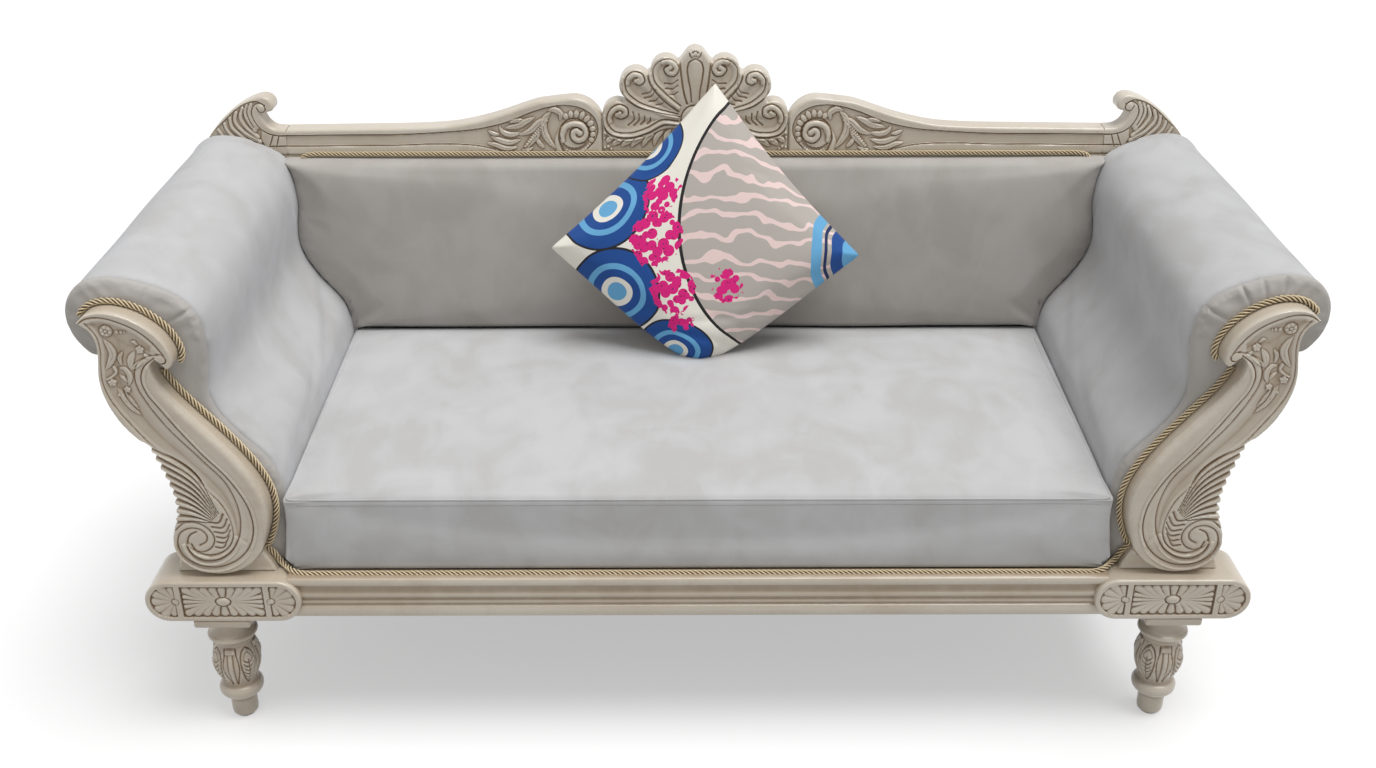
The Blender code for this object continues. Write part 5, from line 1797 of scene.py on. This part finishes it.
def makeArmBorders():
    s = armBorder
    loop = spline(outlineOf("arm_border_right", 0.85), 0.006, True)
    low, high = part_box("arm_border_right")
    count = len(loop)
    points = np.vstack([np.stack([loop[:, 0], np.full(count, y), loop[:, 1]], 1) for y in (low.y, high.y)])
    walls, lids = tubeFaces(2, count)
    piece = newPiece("arm_border_upholstery_right", points, walls + lids)
    remeshed(piece, s["voxel"])
    mesh = piece.data
    relax(mesh, 14, clamp((high.y - 0.002 - pointsOf(mesh)[:, 1]) / s["faceDepth"]))
    swell(piece, s, normalsOf(mesh)[:, 1] > 0.5)
    smoothOnce(piece)
    left = mirrored("arm_border_upholstery_left", piece.data)
    for one, side in ((piece, 1), (left, -1)):
        mesh = one.data
        points = pointsOf(mesh)
        centre = np.array([side * (settee["seatSide"] + s["roll"][0]), railTop + s["roll"][1]])
        off = points[:, [0, 2]] - centre
        angle = np.degrees(np.arctan2(off[:, 1], side * off[:, 0]))
        reach = np.linalg.norm(off, axis=1)
        fade = clamp((reach - s["rollFace"][0]) / s["rollFace"][1])
        pull = np.zeros(len(points))
        beside, spread = s["besideFold"]
        for turn, depth in s["pleats"][side]:
            wide = np.abs(angle - turn) * math.pi / 180 * reach
            fold = np.exp(-(wide / s["fold"]) ** 2) - 0.4 * np.exp(-((wide - beside) / spread) ** 2)
            pull += depth / 1000 * fold * fade
        show = clamp((high.y - points[:, 1]) / s["faceDepth"])
        points[:, 1] += pull * show
        points[:, 1] += s["uneven"] * softNoise(points, 0.12, 21) * show
        setPoints(mesh, points)
        # the borders take the velvet copy with painted shade
        adopt(one, shadedUprightVelvet, ("arm_border_" + sides[side],))


makeArmBorders()
print("arm borders padded")


outsideArm = {
    "step": 0.008,
    "rows": 60,
    "rearGap": 0.0008,
    "calm": 0.03,
    "uneven": 0.0012,
    "wave": 0.26,
    "seed": 30,
}


def makeOutsideArms():
    s = outsideArm
    points, faces = armLoft("arm_outside_right", s["step"], s["rows"], s["rearGap"])
    piece = newPiece("arm_outside_cover_right", points, faces, 50)
    mesh = piece.data
    points, facing = pointsOf(mesh), normalsOf(mesh)
    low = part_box("arm_outside_right")[0]
    away = clamp((points[:, 1] - low.y) / s["calm"]) * clamp((points[:, 2] - low.z) / s["calm"])
    setPoints(mesh, uneven(points, facing, s, away * clamp(facing[:, 0])))
    other = mirrored("arm_outside_cover_left", mesh)
    adopt(piece, velvet, ("arm_outside_right",))
    adopt(other, velvet, ("arm_outside_left",))


makeOutsideArms()


outsideBack = {"cell": 0.012, "edge": 0.0012, "calm": 0.06, "uneven": 0.0014}


def makeOutsideBack():
    s = outsideBack
    loop = spline(crestLoop("back_outside"), 0.010, True)
    near, far = leanDepths("back_outside")

    def carve(work):
        calm = clamp(awayFrom(loop, work.spots, s["calm"]) / s["calm"])
        flat = np.insert(work.spots, 1, 0.0, axis=1)
        work.ground = s["uneven"] * (softNoise(flat, 0.30, 41) - 0.6) * calm

    def place(points):
        points[:, 1] = near + far - points[:, 1]
        return leant(points)

    names = {1: ("back_outside_cover", ("back_outside",))}
    carvedBoard(names, loop, carve, dict(s, front=near, back=far), place, velvet)


makeOutsideBack()
print("outside covers made")


# Trim that follows a path: ropes, welts and stitches are grown by node trees
class GrowTree(NodeMaker):
    def __init__(self, name):
        super().__init__(bpy.data.node_groups.new(name, "GeometryNodeTree"))
        for way in ("INPUT", "OUTPUT"):
            self.tree.interface.new_socket("Geometry", in_out=way, socket_type="NodeSocketGeometry")
        self.start = self.tree.nodes.new("NodeGroupInput")

    def size(self, name, default=None, kind="NodeSocketFloat"):
        slot = self.tree.interface.new_socket(name, in_out="INPUT", socket_type=kind)
        if default is not None:
            slot.default_value = default
        return Wire(self.tree, self.start.outputs[name])

    def path(self, step):
        drawn = Wire(self.tree, self.start.outputs["Geometry"])
        line = self.node("GeometryNodeMeshToCurve", None, {"Mesh": drawn})
        return self.node("GeometryNodeResampleCurve", {"mode": "LENGTH"}, {"Curve": line, "Length": step})

    def mark(self, shape, name, value):
        return self.node("GeometryNodeStoreNamedAttribute", {"data_type": "FLOAT", "domain": "POINT"}, {
            "Geometry": shape, "Name": name, "Value": value})

    def close(self, shape):
        material = self.size("Material", kind="NodeSocketMaterial")
        real = self.node("GeometryNodeRealizeInstances", None, {"Geometry": shape})
        done = self.node("GeometryNodeSetMaterial", None, {"Geometry": real, "Material": material})
        self.feed(self.tree.nodes.new("NodeGroupOutput").inputs["Geometry"], done)


def makeRopeTree():
    g = GrowTree("rope_tree")
    radius = g.size("Rope Radius", 0.005)
    lobe = g.size("Lobe Depth", 0.17)
    strands = g.size("Strands", 3.0)
    lay = g.size("Lay Length", 0.0235)
    step = g.size("Step", 0.0016)
    ringPoints = 24
    angle = g.node("GeometryNodeInputIndex") * (2 * math.pi / ringPoints)
    wave = g.node("ShaderNodeMath", {"operation": "COSINE"}, {0: angle * strands})
    ring = g.node("GeometryNodeCurvePrimitiveCircle", None, {"Resolution": ringPoints, "Radius": 1.0})
    grown = g.node("ShaderNodeVectorMath", {"operation": "SCALE"}, {
        0: g.node("GeometryNodeInputPosition"), "Scale": radius * (1 - lobe + lobe * wave)})
    shaped = g.node("GeometryNodeSetPosition", None, {"Geometry": ring, "Position": grown})
    profile = g.mark(g.mark(shaped, "groove", 0.5 + 0.5 * wave), "round", angle)
    far = g.node("GeometryNodeSplineParameter", out="Length")
    twisted = g.node("GeometryNodeSetCurveTilt", None, {
        "Curve": g.path(step), "Tilt": far / lay * (2 * math.pi)})
    tube = g.node("GeometryNodeCurveToMesh", None, {
        "Curve": g.mark(twisted, "along", far), "Profile Curve": profile, "Fill Caps": True})
    g.close(g.node("GeometryNodeSetShadeSmooth", None, {"Geometry": tube}))
    return g.tree


def makeStitchTree():
    g = GrowTree("stitch_tree")
    pitch = g.size("Pitch", 0.0065)
    length = g.size("Stitch Length", 0.0042)
    thick = g.size("Thread Radius", 0.0005)
    dots = g.tree.nodes.new("GeometryNodeCurveToPoints")
    dots.mode = "EVALUATED"
    g.feed(dots.inputs["Curve"], g.path(pitch))
    bead = g.node("GeometryNodeMeshIcoSphere", None, {"Radius": 1.0, "Subdivisions": 1})
    turn = g.node("FunctionNodeAlignRotationToVector", {"axis": "Z"}, {
        "Vector": Wire(g.tree, dots.outputs["Tangent"])})
    size = g.node("ShaderNodeCombineXYZ", None, {"X": thick, "Y": thick, "Z": length * 0.5})
    g.close(g.node("GeometryNodeInstanceOnPoints", None, {
        "Points": Wire(g.tree, dots.outputs["Points"]), "Instance": bead, "Rotation": turn, "Scale": size}))
    return g.tree


ropeTree = makeRopeTree()
stitchTree = makeStitchTree()


def grow(name, paths, tree, sizes):
    verts, edges = [], []
    for path in paths:
        first = len(verts)
        verts += [tuple(p) for p in path]
        edges += [(first + k, first + k + 1) for k in range(len(path) - 1)]
    mesh = bpy.data.meshes.new(name)
    mesh.from_pydata(verts, edges, [])
    piece = linked(name, mesh)
    grower = piece.modifiers.new("grow", "NODES")
    grower.node_group = tree
    for slot in tree.interface.items_tree:
        if slot.item_type == "SOCKET" and slot.in_out == "INPUT" and slot.name in sizes:
            grower[slot.identifier] = sizes[slot.name]
    return asMesh(piece)


ropeSizes = {
    "Rope Radius": ropeCord["radius"], "Lobe Depth": ropeCord["lobe"], "Strands": ropeCord["strands"],
    "Lay Length": ropeCord["lay"], "Step": ropeCord["step"], "Material": ropeFinish,
}


def acrossTo(half):
    # a right-hand stretch, a straight run across and the same stretch on the left
    last = half[-1]
    run = np.linspace(last[0], -last[0], 60)[1:-1, None] * np.array([1, 0, 0]) + last * np.array([0, 1, 1])
    return np.vstack([half, run, half[::-1] * np.array([-1, 1, 1])])


def layRope(node, path):
    piece = grow(node.replace("rope", "rope_twisted"), [path], ropeTree, ropeSizes)
    adopt(piece, ropeFinish, (node,))


def makeRopes():
    clear = ropeCord["radius"] + ropePath["clearance"]
    reach = ropeCord["radius"] + 2 * ropePath["clearance"]
    loop = spline(localArm(outlineOf("arm_scroll_right")), 0.003, True)
    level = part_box("arm_border_right")[0].y - ropeCord["radius"] - ropePath["clearance"]

    def onArm(line):
        return np.stack([settee["seatSide"] + line[:, 0], np.full(len(line), level), railTop + line[:, 1]], 1)

    top = onArm(offsetPath(stretchOf(loop, ropePath["topStart"], ropePath["topEnd"]), reach))
    for side, end in sides.items():
        layRope("arm_rope_" + end, top * np.array([side, 1, 1]))
    # down the inner edge and the plinth's flank, then out to the foot of the seat
    plinth = localArm(outlineOf("arm_plinth_right"))
    toe = plinth[np.argmin(plinth.sum(1))]
    flank = plinth[np.argmin(np.linalg.norm(plinth - ropePath["innerEnd"], axis=1))]
    edge = stretchOf(loop, ropePath["innerStart"], ropePath["innerEnd"])[:-1]
    half = onArm(offsetPath(np.vstack([edge[::2], flank, (flank + toe) / 2]), reach))
    seatLevel = frontLine + ropePath["seatLine"] - ropeCord["radius"] - ropePath["clearance"]
    turn = [(half[-1, 0] - across, level + forward * (seatLevel - level), railTop + clear + up)
            for across, forward, up in ropePath["turn"]]
    layRope("front_rope", spline(acrossTo(np.vstack([half, turn])), 0.004))
    # along the back, with the ends turned down round the pad's corners
    low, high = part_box("back_rope")
    depth, up = (low.y + high.y) / 2, (low.z + high.z) / 2
    ends = [(high.x - across, depth + drop * settee["backLean"] - ropePath["backInset"], up + drop)
            for across, drop in ropePath["backDrop"]]
    layRope("back_rope", spline(acrossTo(np.array(ends[::-1])), 0.004))


makeRopes()
print("ropes twisted")

# Welts and stitches on the covers
seams = {
    "welt": 0.0021,
    "weltStep": 0.004,
    "weltSink": 0.0004,
    "weltBack": 0.24,
    "stitchDrop": 0.0155,
    "stitchEnd": 0.688,
    "stitchSink": -0.0001,
    "stitchStep": 0.002,
    "pitch": 0.0044,
    "stitch": 0.0036,
    "thread": 0.00045,
    "armStart": (0.316, 0.440),  # out from the seat side and up from the rails
    "armEnd": (0.001, 0.12),
    "armInset": 0.0055,
}


def hits(tree, origins, ways, sink):
    found = []
    for origin, way in zip(origins, ways):
        way = Vector(way).normalized()
        spot = tree.ray_cast(Vector(origin), way)[0]
        if spot is not None:
            found.append(np.array(spot + way * sink))
    return np.array(found)


def evenPath(path, step):
    for _ in range(2):
        path[1:-1] = (path[:-2] + 2 * path[1:-1] + path[2:]) / 4
    return spline(path, step)


def sewStitches(name, paths):
    adopt(grow(name, paths, stitchTree, stitchSizes), thread)


def makeSeatSeams():
    s = seams
    tree = treeOf(seat)
    roll = seatPad["roll"]
    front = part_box("seat_pad")[0].y + seatPad["flare"] + roll
    side = settee["seatSide"] - roll
    # rays come in at the rolled edge, along one side, round the corner and across the front
    half = [((side, y), (1, 0)) for y in np.linspace(s["weltBack"], front, 40)]
    bends = np.radians(np.linspace(10, 80, 6))
    half += [((side, front), (math.cos(bend), -math.sin(bend))) for bend in bends]
    rays = half + [((x, front), (0, -1)) for x in np.linspace(side, -side, 120)]
    rays += [((-x, y), (-u, v)) for (x, y), (u, v) in half[::-1]]
    spots = np.array([(x, y, seatPad["top"] - roll) for (x, y), _ in rays])
    away = np.array([(u, v, 1.0) for _, (u, v) in rays]) * 0.3
    path = evenPath(hits(tree, spots + away, -away, s["weltSink"]), s["weltStep"])
    welt = grow("seat_welt", [path], ropeTree, {
        "Rope Radius": s["welt"], "Lobe Depth": 0.0, "Step": s["weltStep"], "Material": velvet})
    adopt(welt, velvet)
    level = seatPad["top"] - s["stitchDrop"]
    line = [(x, -0.7, level) for x in np.linspace(s["stitchEnd"], -s["stitchEnd"], 160)]
    path = evenPath(hits(tree, line, [(0, 1, 0)] * len(line), s["stitchSink"]), s["stitchStep"])
    sewStitches("seat_stitches", [path])


stitchSizes = {"Pitch": seams["pitch"], "Stitch Length": seams["stitch"], "Thread Radius": seams["thread"],
               "Material": thread}
makeSeatSeams()


def makeArmSeams():
    s = seams
    loop = spline(outlineOf("arm_pad_right", 0.1), 0.006, True)
    corner = np.array([settee["seatSide"], railTop])
    line = stretchOf(loop, corner + s["armStart"], corner + s["armEnd"])
    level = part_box("arm_pad_right")[0].y + s["armInset"]
    outer = offsetPath(line, 0.04)
    start, way = np.insert(outer, 1, level, axis=1), np.insert(line - outer, 1, 0.0, axis=1)
    path = evenPath(hits(armTree, start, way, s["stitchSink"]), s["stitchStep"])
    sewStitches("arm_stitches", [path, path * np.array([-1, 1, 1])])


makeArmSeams()
print("seams sewn")

# Scatter cushion, a square standing on its corner
scatterCushion = {
    "side": 0.475,
    "thickness": 0.130,
    "edge": 0.006,
    "drawIn": 0.060,
    "squash": 0.260,
    "lean": 26.0,
    "tilt": 3.5,
    "cells": 60,
    "start": 0.80,
    "pressure": 3.5,
    "frames": 22,
    "cap": 0.014,
    "bending": 0.05,
    "tension": 12,
    # level, lean and depth
    "creases": ((-0.47, 0.22, 0.0060), (-0.57, -0.30, 0.0048), (-0.40, -0.5, 0.0024)),
    "narrow": 0.965,
    "shear": 0.033,
    "droop": 0.062,
    "bend": 0.05,
    "blunt": 0.040,
    "pucker": 0.10,
    "puckers": 9,
    "rise": 0.012,  # of each face before it is stuffed
    "crushed": (0.30, 0.35),  # share of the way down where the creases start, and over which they deepen
    "creaseWidth": 0.022,
}


def drawnIn(p, q):
    # the sides of a stuffed square curve in between its corners
    s = scatterCushion
    across = s["side"] / 2 * p * (1 - s["drawIn"] * (1 - q * q) * np.abs(p))
    along = s["side"] / 2 * q * (1 - s["drawIn"] * (1 - p * p) * np.abs(q))
    return across, along


def cushionRest():
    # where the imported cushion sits: its turn, and its place from the box
    s = scatterCushion
    share = np.linspace(-1, 1, 8)
    p, q = (a.ravel() for a in np.meshgrid(share, share))
    across, along = drawnIn(p, q)
    full = s["edge"] + (s["thickness"] - s["edge"]) * np.sqrt((1 - p**2) * (1 - q**2))
    corners = np.vstack([onPoint(across, face * full / 2, along) for face in (1, -1)])
    lean, tilt = -math.radians(s["lean"]), math.radians(s["tilt"])
    turn = np.array(Matrix.Rotation(lean, 3, "X") @ Matrix.Rotation(tilt, 3, "Y"))
    corners = corners @ turn.T
    low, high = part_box("scatter_cushion")
    return turn, (np.array(low) + np.array(high)) / 2 - (corners.min(0) + corners.max(0)) / 2


def onPoint(across, through, along):
    s = scatterCushion
    right = (across - along) / math.sqrt(2)
    up = (across + along) / math.sqrt(2)
    reach = np.maximum(0, -up / (s["side"] / math.sqrt(2)))
    return np.stack([right, through, up * (1 - s["squash"] * reach**2)], 1)


def makeCushionMesh():
    n = scatterCushion["cells"]
    half = scatterCushion["side"] / 2
    share = np.linspace(-1, 1, n + 1)
    index, points, faces, corners = {}, [], [], []
    for face in (0, 1):
        for i, p in enumerate(share):
            for j, q in enumerate(share):
                if face and (i in (0, n) or j in (0, n)):
                    index[face, i, j] = index[0, i, j]  # both faces share the rim
                    continue
                index[face, i, j] = len(points)
                rise = scatterCushion["rise"] * (1 - p**4) * (1 - q**4)
                points.append((half * p, rise * (1 if face else -1), half * q))
        for i in range(n):
            for j in range(n):
                ring = [(i, j), (i + 1, j), (i + 1, j + 1), (i, j + 1)]
                if face:
                    ring = ring[::-1]
                faces.append([index[face, a, b] for a, b in ring])
                corners += [((share[a] + 1) / 2, (share[b] + 1) / 2) for a, b in ring]
    mesh = bpy.data.meshes.new("scatter_cushion_cover")
    mesh.from_pydata(points, [], faces)
    layer = mesh.uv_layers.new(name="print")
    layer.data.foreach_set("uv", np.array(corners, np.float32).ravel())
    side = mesh.attributes.new("showSide", "FLOAT", "FACE")
    side.data.foreach_set("value", np.repeat(np.array([1.0, 0.0], np.float32), n * n))
    return linked("scatter_cushion_cover", mesh)


def makeScatterCushion():
    s = scatterCushion
    half = s["side"] / 2
    piece = makeCushionMesh()
    mesh = piece.data
    points = pointsOf(mesh)
    p, q = points[:, 0] / half, points[:, 2] / half
    across, along = drawnIn(p, q)
    full = s["start"] * s["thickness"] / 2 * np.sqrt(clamp((1 - p**2) * (1 - q**2)))
    setPoints(mesh, np.stack([across, np.sign(points[:, 1]) * full, along], 1))
    swell(piece, s, np.zeros(len(mesh.vertices), bool))
    points = pointsOf(mesh)
    points = points - (points.max(0) + points.min(0)) / 2
    grown = half / np.mean([np.abs(points[k, [0, 2]]).mean() for k in (0, s["cells"])])
    thick = s["thickness"] / np.ptp(points[:, 1])
    print("cushion scaled by", round(grown, 3), "and", round(thick, 3))
    points = points * np.array([grown, thick, grown])
    # corners are turned blunt, with small puckers beside them
    tip = clamp(np.abs(points[:, 0] * points[:, 2]) / half**2)
    points[:, [0, 2]] *= (1 - s["blunt"] * tip**9)[:, None]
    fan = np.arctan2(half - np.abs(points[:, 0]), half - np.abs(points[:, 2]))
    points[:, 1] *= 1 + s["pucker"] * np.sin(s["puckers"] * fan) * tip**1.5 * (1 - tip**6)
    points = onPoint(points[:, 0], points[:, 1], points[:, 2])
    # the crushed corner folds over, with soft creases above it
    up = points[:, 2] / (s["side"] / math.sqrt(2))
    start, fade = s["crushed"]
    low = clamp((-up - start) / fade)
    for level, lean, depth in s["creases"]:
        line = (up - level) - lean * points[:, 0] / s["side"]
        points[:, 1] -= np.sign(points[:, 1]) * depth * low * np.exp(-(line / s["creaseWidth"]) ** 2)
    # it leans to one side, and its side corners hang a little
    points[:, 2] += s["shear"] * points[:, 0]
    points[:, 2] -= s["droop"] * (np.hypot(points[:, 0], s["bend"]) - s["bend"])
    points[:, 0] *= s["narrow"]
    turn, place = cushionRest()
    setPoints(mesh, points @ turn.T + place)
    smoothOnce(piece)
    adopt(piece, makeCushionPrint(), ("scatter_cushion",), "cushion")


cushionPrint = {
    "inks": {
        "cream": (243, 239, 228), "grey": (186, 179, 172), "pink": (240, 214, 210), "royal": (13, 74, 150),
        "navy": (16, 40, 92), "sky": (104, 174, 220), "magenta": (226, 20, 128), "plum": (74, 22, 54),
        "ink": (20, 20, 24),
    },
    "arcs": ((0.0, 0.16, "sky"), (0.16, 0.215, "royal"), (0.235, 0.25, "navy"), (0.262, 0.31, "sky")),
    # place and size
    "rounds": ((0.06, 0.62, 0.20), (0.30, 0.94, 0.19), (0.02, 0.20, 0.19), (0.60, 1.02, 0.15)),
    "drifts": ((0.36, 0.66, 0.115), (0.25, 0.44, 0.10), (0.50, 0.80, 0.085), (0.17, 0.30, 0.06),
               (0.44, 0.30, 0.07)),
}


def makeCushionPrint():
    f = Finish("cushion_print", {"Specular IOR Level": 0.2, "Sheen Weight": 0.1})
    c = {key: paint(*value) for key, value in cushionPrint["inks"].items()}
    place = f.node("ShaderNodeUVMap", {"uv_map": "print"})
    split = f.tree.nodes.new("ShaderNodeSeparateXYZ")
    f.feed(split.inputs[0], place)
    u, v = Wire(f.tree, split.outputs[0]), Wire(f.tree, split.outputs[1])

    def within(value, low, high):
        return (value > low) * (value < high)

    def far(x, y):
        return ((u - x) * (u - x) + (v - y) * (v - y)) ** 0.5

    # warm grey ground with pale waves towards the right
    wave = f.wave("DIAGONAL", 5.2, 5.5, place, {"Detail": 1.0, "Detail Scale": 1.6})
    grey = f.mix(f.ramp(wave, 0.80, 0.84), c["grey"], c["pink"])
    look = f.mix(far(1.0, 0.15) < 0.72, c["cream"], grey)
    look = f.mix(within(far(1.0, 0.15), 0.712, 0.726), look, c["ink"])
    # arcs round the right-hand corner
    arc = far(1.04, -0.04)
    for low, high, name in cushionPrint["arcs"]:
        look = f.mix(within(arc, low, high), look, c[name])
    # stacked half rounds on the cream side
    for x, y, size in cushionPrint["rounds"]:
        ring = far(x, y)
        look = f.mix(ring < size, look, c["royal"])
        look = f.mix(within(ring, size * 0.56, size * 0.70), look, c["sky"])
        look = f.mix(ring < size * 0.36, look, c["cream"])
        look = f.mix(ring < size * 0.22, look, c["sky"])
        look = f.mix(within(ring, size, size * 1.05), look, c["ink"])
    # drifts of round blossoms
    bloom, petals = (
        f.node("ShaderNodeTexVoronoi", {"feature": "F1"}, {
            "Vector": place, "Scale": scale, "Randomness": loose})
        for scale, loose in ((25.0, 0.75), (60.0, 0.9)))
    ragged = 0.066 * (f.noise(30.0, 2.0, place) - 0.5)
    drift = 0.0
    for x, y, size in cushionPrint["drifts"]:
        drift = u.calc("MAXIMUM", drift, (far(x, y) + ragged) < size)
    flower = f.mix(petals < 0.20, c["magenta"], c["plum"])
    flower = f.mix(bloom < 0.10, flower, c["navy"])
    look = f.mix(drift * (bloom < 0.62), look, flower)
    # backing cloth is plain
    look = f.mix(f.attribute("showSide"), f.mix(f.noise(40.0), c["grey"], c["cream"]), look)
    weave = f.node("ShaderNodeTexChecker", None, {"Vector": place, "Scale": 700.0}, out=1)
    f.put("Base Color", f.mix(0.05 * weave, look, c["grey"]))
    f.put("Roughness", 0.78 - 0.08 * weave)
    f.put("Normal", f.bump(weave + 0.6 * f.noise(35.0, 3.0), 0.12, 0.0008))
    return f.material


makeScatterCushion()
print("scatter cushion stuffed")

# Floor and light
studio = {
    "floor": (0.99, 0.99, 0.99, 1.0),
    "floorBounce": (0.52, 0.52, 0.52, 1.0),
    "floorGlow": 0.46,
    "floorHalf": 30.0,
    "dome": 0.44,
    "key": 2.40,
    "keyAngle": 38,
    "keyFrom": (0.26, -0.06, 1.0),
}


def seenShare(maker):
    # 1 on rays that show in the picture, straight on or mirrored
    kinds = ("Camera", "Glossy", "Transmission")
    rays = [maker.node("ShaderNodeLightPath", out="Is %s Ray" % kind) for kind in kinds]
    seen = rays[0] + rays[1] + rays[2]
    return seen.calc("MINIMUM", seen, 1.0)


def makeStudio():
    s = studio
    f = Finish("floor", {"Specular IOR Level": 0.0, "Roughness": 1.0})
    seen = seenShare(f)
    f.put("Base Color", f.mix(seen, s["floorBounce"], s["floor"]))
    glow = f.node("ShaderNodeEmission", None, {"Color": (1, 1, 1, 1), "Strength": 1.0})
    both = f.node("ShaderNodeMixShader", None, {
        0: s["floorGlow"] * seen, 1: Wire(f.tree, f.shader.outputs[0]), 2: glow})
    f.feed(f.tree.nodes["Material Output"].inputs["Surface"], both)
    half = s["floorHalf"]
    corners = [(-half, -half, 0), (half, -half, 0), (half, half, 0), (-half, half, 0)]
    floor = newPiece("floor", corners, [(0, 1, 2, 3)])
    floor.data.materials.append(f.material)
    world = bpy.data.worlds.new("studio")
    world.use_nodes = True
    sky = NodeMaker(world.node_tree)
    shade = sky.tree.nodes["Background"]
    sky.feed(shade.inputs["Strength"], s["dome"] + (1 - s["dome"]) * seenShare(sky))
    shade.inputs["Color"].default_value = (1, 1, 1, 1)
    scene.world = world
    key = bpy.data.lights.new("key", "SUN")
    key.energy = s["key"]
    key.angle = math.radians(s["keyAngle"])
    lamp = linked("key", key)
    lamp.rotation_mode = "QUATERNION"
    lamp.rotation_quaternion = Vector(s["keyFrom"]).to_track_quat("Z", "Y")


makeStudio()
print("studio lit")
